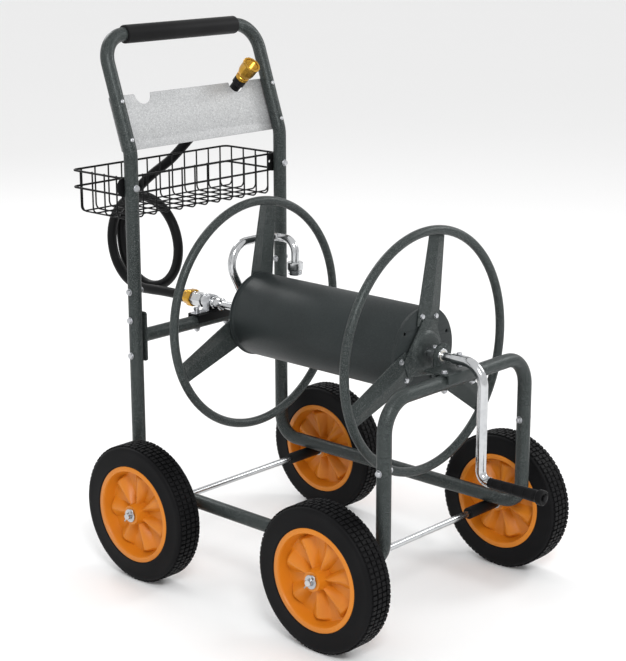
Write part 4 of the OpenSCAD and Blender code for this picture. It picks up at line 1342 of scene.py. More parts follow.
@dataclass
class WireBasket:
    """Wire basket: two rings, bent mesh wires and two bracket plates."""

    shop: Workshop
    layout: Layout
    rim_r: float = 2 * MM
    mesh_r: float = 1.5 * MM
    bend: float = 10 * MM
    corner: float = 12 * MM
    long_wires: int = 12
    cross_wires: int = 4
    margin: float = 16 * MM
    ring_drop: float = 31 * MM

    def build(self) -> None:
        """Makes the rings, the wires and the brackets."""
        low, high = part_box("basket")
        cx, cy = 0.0, (low.y + high.y) / 2
        half_w, half_d = (high.x - low.x) / 2 - self.rim_r, (high.y - low.y) / 2 - self.rim_r
        top = high.z - self.rim_r
        rings = []
        for z in (top, top - self.ring_drop):
            outline = []
            for sx, sy, a in ((1, 1, 0), (-1, 1, 90), (-1, -1, 180), (1, -1, 270)):
                outline += arc(
                    cx + sx * (half_w - self.corner), cy + sy * (half_d - self.corner), self.corner, a,
                    a + 90, 8
                )
            rings.append([Vector((x, y, z)) for x, y in outline])
        ride(
            self.shop.tube("basket_rings", rings, self.rim_r, "black_paint", closed=True, sides=12), "cart",
            "basket"
        )
        inset = self.rim_r + self.mesh_r + 0.05 * MM
        w, d = half_w - inset, half_d - inset
        floor = low.z + self.mesh_r
        wires = []
        for k in range(self.long_wires):
            x = -w + self.margin + k * 2 * (w - self.margin) / (self.long_wires - 1)
            wires.append(self._u_wire(lambda s, z, x=x: (x, cy + s * d, z), floor, top))
        for k in range(self.cross_wires):
            y = cy - d + self.margin + k * 2 * (d - self.margin) / (self.cross_wires - 1)
            wires.append(self._u_wire(lambda s, z, y=y: (s * w, y, z), floor + 2 * self.mesh_r, top))
        ride(self.shop.tube("basket_mesh", wires, self.mesh_r, "black_paint", sides=8), "cart")
        self._brackets()

    def _u_wire(self, spot: Callable[[float, float], Point], floor: float, top: float) -> list[Vector]:
        """Path of one wire: down, across the floor and up again."""
        end = top + self.rim_r
        return bend_path(
            [
                (spot(-1, end), 0), (spot(-1, floor), self.bend), (spot(1, floor), self.bend),
                (spot(1, end), 0)
            ],
            15
        )

    def _brackets(self) -> None:
        """Plates with rounded outer corners behind the uprights."""
        low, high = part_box("basket_brackets")
        lay = self.layout
        z, y = (low.z + high.z) / 2, (low.y + high.y) / 2
        wide = 42 * MM
        parts = []
        for side in Side:
            turn = Matrix.Rotation(math.radians(90), 4, "X")
            holes = [(0, 0, 3.2 * MM), (-side.value * wide * 0.36, 2 * MM, 2.6 * MM)]
            parts.append(
                plate("bracket", rounded(wide, high.z - low.z, 14 * MM), holes, high.y - low.y,
                      Matrix.Translation((side.value * lay.side_x, y, z)) @ turn, 0.5 * MM)
            )
        ride(
            self.shop.finishes.paint(join("bracket_plates", parts), "black_paint"), "cart",
            "basket_brackets"
        )


# ---------------------------------------------------------------- reel


@dataclass
class Reel:
    """Drum, end plates, folded spokes, flange hoops and hub plates."""

    shop: Workshop
    layout: Layout
    fasteners: Fasteners
    sheet: float = 2.5 * MM
    turn_deg: float = 8.0
    spoke_hub_w: float = 56 * MM
    spoke_rim_w: float = 39 * MM
    spoke_in: float = 44 * MM
    fold: float = 4.5 * MM
    bolt_circle: float = 61 * MM
    bolt_gap: float = 37 * MM
    hub_flat: float = 41.5 * MM
    hub_tip: float = 57 * MM

    def end_place(self, end: End) -> Matrix:
        """Matrix whose local Z points out of a drum end, from the drum's end face."""
        low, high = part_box("drum_shell")
        y = high.y if end is End.REAR else low.y
        turn = Matrix.Rotation(math.radians(-90 if end is End.REAR else 90), 4, "X")
        return Matrix.Translation((0, y, self.layout.axis_z)) @ turn

    def spoke_angle(self, end: End, k: int) -> float:
        """Angle of a spoke in the end's local plane, in degrees."""
        if end is End.REAR:
            return -(90 + 120 * k) + self.turn_deg
        return 90 + 120 * k - self.turn_deg

    def drum(self) -> None:
        """Drum shell with rolled beads near its ends, and the end caps."""
        low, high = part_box("drum_shell")
        r = (high.z - low.z) / 2
        half = (high.y - low.y) / 2
        bead = 0.7 * MM
        outer = [(r - 0.4 * MM, -half), (r, -half + 0.5 * MM)]
        for z in (-half + 7 * MM, half - 7 * MM):
            outer += [(r, z - 2.5 * MM), (r - bead, z - 1 * MM), (r - bead, z + 1 * MM), (r, z + 2.5 * MM)]
        outer += [(r, half - 0.5 * MM), (r - 0.4 * MM, half)]
        profile = [(r - 1.5 * MM, -half)] + outer + [(r - 1.5 * MM, half)]
        shell = lathe(
            "drum_tube", profile, along((0, (low.y + high.y) / 2, self.layout.axis_z), (0, 1, 0)), 128
        )
        ride(self.shop.finishes.paint(shell, "drum_coat"), "reel", "drum_shell")
        for end in End:
            cap_r = 77 * MM
            bore = 7.6 * MM if end is End.REAR else 7.1 * MM
            holes = [(0, 0, bore)]
            for k in range(3):
                a = math.radians(self.spoke_angle(end, k) + 60)
                holes.append((0.065 * math.cos(a), 0.065 * math.sin(a), 3 * MM))
            place = self.end_place(end) @ Matrix.Translation((0, 0, self.sheet / 2))
            cap = plate(
                f"drum_end_{end.name.lower()}", arc(0, 0, cap_r, 0, 360, 120)[:-1], holes, self.sheet,
                place, 0.5 * MM
            )
            ride(self.shop.finishes.paint(cap, "drum_coat"), "reel", f"drum_cap_{end.name.lower()}")

    def spoke(self, angle_deg: float, end: End, out_r: float) -> bpy.types.Object:
        """One spoke, folded along its middle and flattened where it is bolted."""
        shape = bmesh.new()
        rows = []
        stations = 14
        for i in range(stations + 1):
            t = i / stations
            x = self.spoke_in + (out_r - self.spoke_in) * t
            half = (
                self.spoke_hub_w + (
                    self.spoke_rim_w - self.spoke_hub_w
                ) * max(0.0, (x - 0.07) / (out_r - 0.07))
            ) / 2
            rise = self.fold * min(1.0, max(0.0, (x - 0.05) / 0.03)) * min(
                1.0, max(0.0, (out_r - x) / 0.004)
            )
            lift = self.sheet * 1.5
            row = []
            for share in (-1.0, -0.55, -0.08, 0.0, 0.08, 0.55, 1.0):
                crest = rise * (1 - abs(share))
                row.append(shape.verts.new((x, share * half, lift + crest)))
            rows.append(row)
        for a, b in zip(rows, rows[1:]):
            for k in range(len(a) - 1):
                shape.faces.new((a[k], b[k], b[k + 1], a[k + 1]))
        place = self.end_place(end) @ Matrix.Rotation(math.radians(angle_deg), 4, "Z")
        piece = from_bmesh("spoke", shape, place, 20.0)
        thick = piece.modifiers.new("sheet", "SOLIDIFY")
        thick.thickness = self.sheet
        thick.offset = 0.0
        edge = piece.modifiers.new("edge", "BEVEL")
        edge.width = 0.35 * MM
        edge.segments = 1
        edge.limit_method = "ANGLE"
        edge.angle_limit = math.radians(60)
        return bake(piece)

    def flange(self, end: End) -> None:
        """Spokes, hub plate and hoop of one end."""
        node = f"flange_hoop_{end.name.lower()}"
        low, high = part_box(node)
        tube_r = (high.y - low.y) / 2
        hoop_r = (high.z - low.z) / 2 - tube_r
        y = (low.y + high.y) / 2
        hoop = [Vector((hoop_r * math.cos(a), y, self.layout.axis_z + hoop_r * math.sin(a))) for a in
                (math.radians(d) for d in range(0, 360, 3))]
        ride(
            self.shop.tube(
                f"hoop_{end.name.lower()}", [hoop], tube_r, "powder_coat", closed=True, sides=28
            ),
            "reel", node
        )
        spokes = [self.spoke(self.spoke_angle(end, k), end, hoop_r - tube_r + 0.9 * MM) for k in range(3)]
        name = f"spokes_{end.name.lower()}"
        ride(
            self.shop.finishes.paint(join(name, spokes), "powder_coat"), "reel",
            f"{end.name.lower()}_spokes"
        )
        self.hub(end)

    def hub(self, end: End) -> None:
        """Six-sided plate with a raised centre."""
        first = self.spoke_angle(end, 0)
        corners = []
        for k in range(3):
            for sign in (-1, 1):
                b = math.radians(first + 120 * k)
                y = (self.hub_flat - self.hub_tip * 0.5) / (math.sqrt(3) / 2)
                x = self.hub_tip
                corners.append(
                    (x * math.cos(b) - sign * y * math.sin(b), x * math.sin(b) + sign * y * math.cos(b))
                )
        outline = []
        n = len(corners)
        for i, c in enumerate(corners):
            p, q = Vector(corners[i - 1]), Vector(corners[(i + 1) % n])
            v = Vector(c)
            for t in (0.0, 0.5, 1.0):
                a, b2 = v + (p - v).normalized() * 0.004, v + (q - v).normalized() * 0.004
                outline.append(tuple(a * (1 - t) ** 2 + v * 2 * t * (1 - t) + b2 * t**2))
        bore = 7.6 * MM if end is End.REAR else 7.1 * MM
        place = self.end_place(end) @ Matrix.Translation((0, 0, 2.5 * self.sheet))
        sheet = plate("hub_sheet", outline, [(0, 0, bore)], self.sheet, place, 0.5 * MM)
        h, z0 = 6 * MM, 3 * self.sheet - 0.3 * MM
        dome = [(bore, z0), (38 * MM, z0), (37.2 * MM, z0 + 0.9 * MM), (34 * MM, z0 + 4 * MM),
                (31 * MM, z0 + h - 0.4 * MM),
                (28 * MM, z0 + h), (bore + 3 * MM, z0 + h), (bore, z0 + h - 0.6 * MM)]
        boss = lathe("boss", dome, self.end_place(end), 96)
        name = f"hub_{end.name.lower()}"
        ride(
            self.shop.finishes.paint(join(name, [sheet, boss]), "powder_coat"), "reel",
            f"{end.name.lower()}_hub_plate"
        )

    def bolts(self) -> None:
        """Two bolts on each spoke."""
        places = []
        for end in End:
            place = self.end_place(end)
            out = place.to_3x3() @ Vector((0, 0, 1))
            for k in range(3):
                for sign in (-1, 1):
                    turn = Matrix.Rotation(math.radians(self.spoke_angle(end, k)), 4, "Z")
                    spot = place @ turn @ Vector(
                        (self.bolt_circle, sign * self.bolt_gap / 2, 2 * self.sheet + 0.3 * MM)
                    )
                    places.append((tuple(spot), tuple(out), 17.0 * k))
        self.fasteners.set("spoke_bolt_heads", "small_head", places, "reel", "spoke_bolts")

    def build(self) -> None:
        """Builds the reel's sheet and tube parts."""
        self.drum()
        for end in End:
            self.flange(end)
        self.bolts()


# ---------------------------------------------------------------- water way and shaft


@dataclass
class WaterWay:
    """Swivel, stem, gooseneck, outlet, couplings and the front bearing's fittings."""

    shop: Workshop
    layout: Layout
    fasteners: Fasteners

    def turned(
        self,
        name: str,
        profile: Profile,
        place: Matrix,
        finish: str,
        body: str,
        nodes: Sequence[str] = (),
        sides: int = 64,
        wave: Callable[[float, float, float], float] | None = None,
    ) -> bpy.types.Object:
        """A turned part in one call."""
        piece = lathe(name, profile, place, sides, wave)
        return ride(self.shop.finishes.paint(piece, finish), body, *nodes)

    @staticmethod
    def lobes(count: int, depth: float, above: float) -> Callable[[float, float, float], float]:
        """A wave that presses finger grooves into the larger radii."""
        def wave(angle: float, radius: float, height: float) -> float:
            """Radius at an angle."""
            return radius - depth * max(0.0, math.cos(count * angle)) ** 2 if radius > above else radius
        return wave

    @staticmethod
    def hexagon(across: float) -> Callable[[float, float, float], float]:
        """A wave that mills six flats on the larger radii."""
        return lambda a, radius, z: min(radius, across / 2 / math.cos((a % (math.pi / 3)) - math.pi / 6))

    def swivel(self) -> None:
        """Chrome body with a milled hexagon, and its strap."""
        low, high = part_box("swivel_body")
        r = (high.z - low.z) / 2
        start = along((0, low.y, self.layout.axis_z), (0, 1, 0))
        length = high.y - low.y
        waist = r - 2.2 * MM
        shell = r - 0.55 * MM
        nose = [
            (7.6 * MM, 0), (r - 3 * MM, 0), (r - 1.2 * MM, 1.5 * MM), (r - 1.2 * MM, 12 * MM),
            (waist, 14 * MM), (waist, 16 * MM)
        ]
        nose += [
            (shell, 17.5 * MM), (shell, 43 * MM), (waist, 45 * MM), (waist, 48 * MM), (7.6 * MM, 48 * MM)
        ]
        hexed = [
            (7.2 * MM, 48 * MM), (waist, 48 * MM), (r * 1.08, 49.5 * MM), (r * 1.08, 72 * MM),
            (waist, 74 * MM)
        ]
        hexed += [(9 * MM, 75 * MM), (7.2 * MM, 75 * MM)]
        thread: list[tuple[float, float]] = [(7 * MM, 74.5 * MM)]
        z = 74.5 * MM
        while z < length - 2.2 * MM:
            thread += [(r - 1.4 * MM, z), (r, z + 0.9 * MM)]
            z += 1.8 * MM
        thread += [(r - 1.6 * MM, length), (7 * MM, length)]
        parts = [
            lathe("nose", nose, start), lathe("hexed", hexed, start, 96, self.hexagon(2 * r * 0.98)),
            lathe("thread", thread, start)
        ]
        ride(self.shop.finishes.paint(join("swivel_housing", parts), "chrome_parts"), "cart", "swivel_body")
        copy_node("swivel_clamp", "swivel_strap", self.shop.finishes, "zinc_fasteners", 0.5 * MM)
        stem_low, stem_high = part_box("swivel_stem")
        sr = (stem_high.z - stem_low.z) / 2
        stem = along((0, stem_low.y, self.layout.axis_z), (0, 1, 0))
        n = stem_high.y - stem_low.y
        profile = [
            (0, 0), (sr - 0.5 * MM, 0), (sr, 0.5 * MM), (sr, n - 0.5 * MM), (sr - 0.5 * MM, n), (0, n)
        ]
        self.turned("turning_stem", profile, stem, "chrome_parts", "reel", ["swivel_stem"])
        collar_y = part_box("rear_hub_plate")[1].y
        collar = [
            (sr - 0.2 * MM, 0), (sr + 3.2 * MM, 0), (sr + 3.2 * MM, 3.5 * MM), (sr + 2.2 * MM, 4.5 * MM),
            (sr - 0.2 * MM, 4.5 * MM)
        ]
        self.turned(
            "stem_collar", collar, along((0, collar_y, self.layout.axis_z), (0, 1, 0)), "chrome_parts",
            "reel"
        )

    def gooseneck(self) -> None:
        """Bent pipe from the stem to the outlet, with its nut."""
        mid = node_middle("outlet_fitting")
        low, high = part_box("outlet_fitting")
        pipe_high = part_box("gooseneck_pipe")[1]
        r = 7.5 * MM
        gy, top = pipe_high.y - r, pipe_high.z - r
        lean = math.radians(118.02)
        rise = top - self.layout.axis_z
        corner = (rise / math.tan(lean), gy, top)
        path = bend_path(
            [
                ((0.004 * math.cos(lean), gy, self.layout.axis_z + 0.004 * math.sin(lean)), 0),
                (corner, 39 * MM),
                ((mid.x, gy, top), 25 * MM),
                ((mid.x, mid.y, top), 25 * MM),
                ((mid.x, mid.y, high.z - 2 * MM), 0),
            ],
            5,
        )
        ride(self.shop.tube("gooseneck", [path], r, "chrome_parts", sides=32), "reel", "gooseneck_pipe")
        R = (high.x - low.x) / 2
        top_nut = [
            (r - 0.3 * MM, 0), (R * 0.9, 0), (R, 1.6 * MM), (R, 13 * MM), (R * 0.93, 14.3 * MM),
            (r - 0.3 * MM, 14.3 * MM)
        ]
        cup = along((mid.x, mid.y, high.z), (0, 0, -1))
        body = [(r, 14.1 * MM), (R * 0.8, 14.1 * MM)]
        z = 14.5 * MM
        end = high.z - low.z
        while z < end - 1.8 * MM:
            body += [(R * 0.78, z), (R * 0.86, z + 0.8 * MM)]
            z += 1.7 * MM
        body += [(R * 0.78, end), (r, end)]
        parts = [lathe("outlet_nut", top_nut, cup, 96), lathe("outlet_thread", body, cup)]
        ride(self.shop.finishes.paint(join("outlet_end", parts), "chrome_parts"), "reel", "outlet_fitting")

    def bearing(self) -> None:
        """Shaft, bush, housing bolts, lock screw and crank bolt."""
        lay = self.layout
        fin = self.shop.finishes
        low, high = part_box("reel_shaft")
        r = (high.z - low.z) / 2
        n = high.y - low.y
        profile = [(0, 0), (r - 0.6 * MM, 0), (r, 0.6 * MM), (r, n - 0.6 * MM), (r - 0.6 * MM, n), (0, n)]
        self.turned(
            "shaft", profile, along((0, low.y, lay.axis_z), (0, 1, 0)), "chrome_parts", "reel",
            ["reel_shaft"]
        )
        low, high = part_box("bearing_bush")
        R = (high.z - low.z) / 2
        n = high.y - low.y
        e = 0.4 * MM
        bush = [(r + 0.06 * MM, -e), (R - e, -e), (R, 0), (R, n), (R - e, n + e), (r + 0.06 * MM, n + e)]
        self.turned(
            "nylon_bush", bush, along((0, low.y, lay.axis_z), (0, 1, 0)), "bush_plastic", "cart",
            ["bearing_bush"]
        )
        top = lay.axis_z + 12.6 * MM
        shell = [
            (R, -e), (12.1 * MM, -e), (12.7 * MM, 0.3 * MM), (12.7 * MM, n - 0.3 * MM), (12.1 * MM, n + e),
            (R, n + e)
        ]
        self.turned(
            "bearing_collar", shell, along((0, low.y, lay.axis_z), (0, 1, 0)), "chrome_parts", "cart"
        )
        spots = [((0, y, top - 0.6 * MM), (0, 0, 1), 15.0) for y in (low.y + 5 * MM, high.y - 5 * MM)]
        self.fasteners.set("bearing_bolts", "small_head", spots, "cart")
        s_low, s_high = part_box("reel_lock_screw")
        mid = (s_low + s_high) / 2
        head_z = s_low.z + 14 * MM
        screw = self.fasteners.masters["wing_nut"]
        piece = self.shop.scatter(
            "wing_screw_head", screw, [((mid.x, mid.y, head_z), (0, 0, -1), 12.0)], "zinc_fasteners"
        )
        rod = self.fasteners.shank(3.9 * MM, 0, s_high.z - head_z)
        rod.data.transform(Matrix.Translation((mid.x, mid.y, head_z)))
        whole = join("wing_screw", [piece, rod])
        ride(fin.paint(whole, "zinc_fasteners"), "lock_screw", "reel_lock_screw")
        c_low, c_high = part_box("crank_bolt")
        c = (c_low + c_high) / 2
        crank_r = node_size("crank_arm").x / 2
        heads = [
            ((0, c.y, lay.axis_z + crank_r), (0, 0, 1), 8.0),
            ((0, c.y, lay.axis_z - crank_r), (0, 0, -1), 8.0)
        ]
        self.fasteners.set("crank_bolt_ends", "small_head", heads, "reel", "crank_bolt")

    def couplings(self) -> dict[str, bpy.types.Object]:
        """Brass nuts and black ferrules of the leader hose.

        Returns:
            The pieces on the hose, by name.
        """
        made = {}
        for spot, length, neck, body in (
            ("inlet", 22 * MM, 8 * MM, "inlet_nut"), ("end", 40 * MM, 12 * MM, "end_nut")
        ):
            place = LeaderHose.inlet_place() if spot == "inlet" else LeaderHose.end_place()
            R = 17 * MM
            t = 13.06 * MM
            body_l = length - neck
            if spot == "inlet":
                out = [
                    (R - 1.2 * MM, 0), (R, 1.2 * MM), (R, body_l - 2 * MM), (R - 2.5 * MM, body_l),
                    (R - 3 * MM, length - 1 * MM), (12 * MM, length)
                ]
                wave = self.hexagon(2 * R * 0.93)
            else:
                out = [(R, 0), (R + 0.4 * MM, 1 * MM), (R + 0.4 * MM, 3 * MM), (R - 0.6 * MM, 4.5 * MM),
                       (R - 0.8 * MM, 15 * MM), (R - 1.2 * MM, 21 * MM), (R - 2.6 * MM, 26 * MM),
                       (12.2 * MM, 29 * MM), (11.6 * MM, 32 * MM), (12.6 * MM, 33 * MM),
                       (12.6 * MM, 39 * MM), (11.8 * MM, 40 * MM)]
                wave = self.lobes(12, 0.7 * MM, 16.1 * MM)
            inner = [(8.6 * MM, length), (8.6 * MM, body_l), (t, body_l - 0.3 * MM)]
            z = body_l - 1.5 * MM
            while z > 2 * MM:
                inner += [(t + 0.9 * MM, z), (t, z - 0.9 * MM)]
                z -= 1.8 * MM
            profile = out + inner + [(t + 0.6 * MM, 0.2 * MM)]
            node = "inlet_coupling_nut" if spot == "inlet" else "hose_end_coupling"
            made[spot + "_nut"] = self.turned(
                f"{spot}_brass_nut", profile, place, "brass_parts", body, [node], 96, wave
            )
            f, g = 12 * MM, length + 0.5 * MM
            seat = body_l - 2.5 * MM
            tail = [
                (6 * MM, seat), (11 * MM, seat), (11 * MM, seat + 2 * MM), (8.5 * MM, seat + 2 * MM),
                (8.5 * MM, g), (f - 1 * MM, g), (f, g + 1 * MM)
            ]
            for k in range(2):
                z = g + (3 + 5 * k) * MM
                tail += [
                    (f, z), (f - 0.7 * MM, z + 0.7 * MM), (f - 0.7 * MM, z + 1.6 * MM), (f, z + 2.3 * MM)
                ]
            tail += [
                (f, g + 13 * MM), (f - 1 * MM, g + 14 * MM), (9.4 * MM, g + 14 * MM),
                (9.4 * MM, g + 8 * MM), (6 * MM, g + 8 * MM)
            ]
            node = "inlet_ferrule" if spot == "inlet" else "hose_end_ferrule"
            made[spot + "_ferrule"] = self.turned(
                f"{spot}_crimp_sleeve", tail, place, "ferrule_black", "cart", [node], 64
            )
            washer = [
                (6.5 * MM, seat - 2 * MM), (12.6 * MM, seat - 2 * MM), (12.6 * MM, seat - 0.2 * MM),
                (6.5 * MM, seat - 0.2 * MM)
            ]
            made[spot + "_washer"] = self.turned(f"{spot}_washer", washer, place, "hose_rubber", body)
        return made

    def build(self) -> None:
        """Builds the turned metal parts of the reel's axis."""
        self.swivel()
        self.gooseneck()
        self.bearing()


# ---------------------------------------------------------------- leader hose


@dataclass
class LeaderHose:
    """The leader hose: one loop behind the basket, then up to the panel's notch."""

    shop: Workshop
    diameter: float = 19 * MM
    loop_centre: tuple[float, float] = (511 * MM, 545 * MM)
    loop_r: float = 90 * MM
    loop_x: float = 3 * MM
    loop_pitch: float = 25 * MM
    loop_turns: float = 1.25
    loop_step: float = 30.0

    END = Vector((118 * MM, 348.7 * MM, 857.5 * MM))
    SLOPE = math.radians(45)
    START = Vector((0, 390 * MM, 459 * MM))
    LEAD = ((0, 390, 459), (0, 405, 459), (0, 446, 458), (0, 480, 456))
    TAIL = ((37, 599, 578), (42, 587, 610), (52, 563, 642), (66, 537, 670), (88, 511, 697), (106, 489, 727),
            (115, 459, 760), (118, 424, 790))

    @classmethod
    def heading(cls) -> Vector:
        """Direction in which the hose's far end points."""
        return Vector((0, -math.cos(cls.SLOPE), math.sin(cls.SLOPE)))

    @classmethod
    def inlet_place(cls) -> Matrix:
        """Place of the inlet's coupling, from its mouth along the hose."""
        return along((0, cls.START.y - 36.5 * MM, cls.START.z), (0, 1, 0))

    @classmethod
    def end_place(cls) -> Matrix:
        """Place of the far coupling, from its mouth back along the hose."""
        return along(tuple(cls.END + cls.heading() * 54.5 * MM), tuple(-cls.heading()))

    def route(self) -> list[Vector]:
        """The points that the hose follows, as the CAD part has them."""
        points = [Vector(p) * MM for p in self.LEAD]
        steps = int(self.loop_turns * 360 / self.loop_step)
        for i in range(steps + 1):
            a = math.radians(i * self.loop_step)
            x = self.loop_x + self.loop_pitch * a / (2 * math.pi)
            points.append(
                Vector(
                    (
                        x, self.loop_centre[0] + self.loop_r * math.sin(a),
                        self.loop_centre[1] - self.loop_r * math.cos(a)
                    )
                )
            )
        points += [Vector(p) * MM for p in self.TAIL]
        points += [self.END - self.heading() * 40 * MM, self.END - self.heading() * 15 * MM, self.END]
        return points

    def build(self, on_hose: Sequence[bpy.types.Object]) -> None:
        """Args:
            on_hose: the sleeves, nuts and washers at its ends; not used.
        """
        path = smooth_path([tuple(p) for p in self.route()], 6)
        piece = self.shop.tube("leader_hose_tube", [path], self.diameter / 2, "hose_rubber", sides=28)
        length = sum((b - a).length for a, b in zip(path, path[1:]))
        ride(piece, "cart", "leader_hose")
        log.info("leader hose: %.3f m", length)


# ---------------------------------------------------------------- crank


@dataclass
class Crank:
    """Chrome crank tube with its black grip."""

    shop: Workshop
    layout: Layout
    upper_bend: float = 38 * MM
    lower_bend: float = 18 * MM
    rings: int = 4

    def arm(self) -> None:
        """Bent tube and the pin that holds the grip."""
        low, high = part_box("crank_arm")
        r = (high.x - low.x) / 2
        z = self.layout.axis_z
        g_low, g_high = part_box("crank_grip")
        throw_z = (g_low.z + g_high.z) / 2
        pin_y = g_high.y + 2 * MM
        arm_y = pin_y + self.lower_bend
        path = bend_path(
            [
                ((0, high.y, z), 0),
                ((0, arm_y, z), self.upper_bend),
                ((0, arm_y, throw_z), self.lower_bend),
                ((0, pin_y - 1.6 * MM, throw_z), 0),
            ],
            5,
        )
        tube = self.shop.tube("crank_tube", [path], r, "chrome_parts", sides=36)
        n = pin_y - low.y
        place = along((0, low.y, throw_z), (0, 1, 0))
        end = [
            (0, 0), (4.2 * MM, 0), (6 * MM, 0.7 * MM), (6 * MM, 2.4 * MM), (5 * MM, 3 * MM), (5 * MM, n),
            (0, n)
        ]
        pin = lathe("crank_pin", end, place, 32)
        ride(self.shop.finishes.paint(tube, "chrome_parts"), "reel", "crank_arm")
        ride(self.shop.finishes.paint(pin, "grip_rubber"), "reel")

    def grip(self) -> None:
        """Tapered grip with shallow rings and a flared end."""
        low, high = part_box("crank_grip")
        n = high.y - low.y
        R = (high.x - low.x) / 2
        bore = 5.1 * MM
        neck = 8.6 * MM
        place = along((0, high.y, (low.z + high.z) / 2), (0, -1, 0))
        profile = [(bore, 0), (neck - 0.8 * MM, 0), (neck, 1 * MM), (neck, 4 * MM)]
        ribbed = n - 17 * MM
        for k in range(self.rings + 1):
            z = 6 * MM + (ribbed - 6 * MM) * k / self.rings
            r = neck + (10.6 * MM - neck) * k / self.rings
            profile += [
                (r - 0.1 * MM, z - 1.2 * MM), (r - 0.6 * MM, z - 0.5 * MM), (r - 0.6 * MM, z + 0.5 * MM),
                (r, z + 1.2 * MM)
            ]
        profile += [
            (10.4 * MM, ribbed + 1 * MM), (11.2 * MM, n - 12 * MM), (R, n - 10 * MM), (R, n - 1.5 * MM),
            (R - 1.5 * MM, n), (bore + 3 * MM, n), (bore + 2 * MM, n - 1.5 * MM), (bore, n - 1.5 * MM)
        ]
        piece = lathe("crank_grip_sleeve", profile, place, 64)
        ride(self.shop.finishes.paint(piece, "grip_rubber"), "crank_handle", "crank_grip")

    def build(self) -> None:
        """Builds the crank."""
        self.arm()
        self.grip()


# ---------------------------------------------------------------- wheels


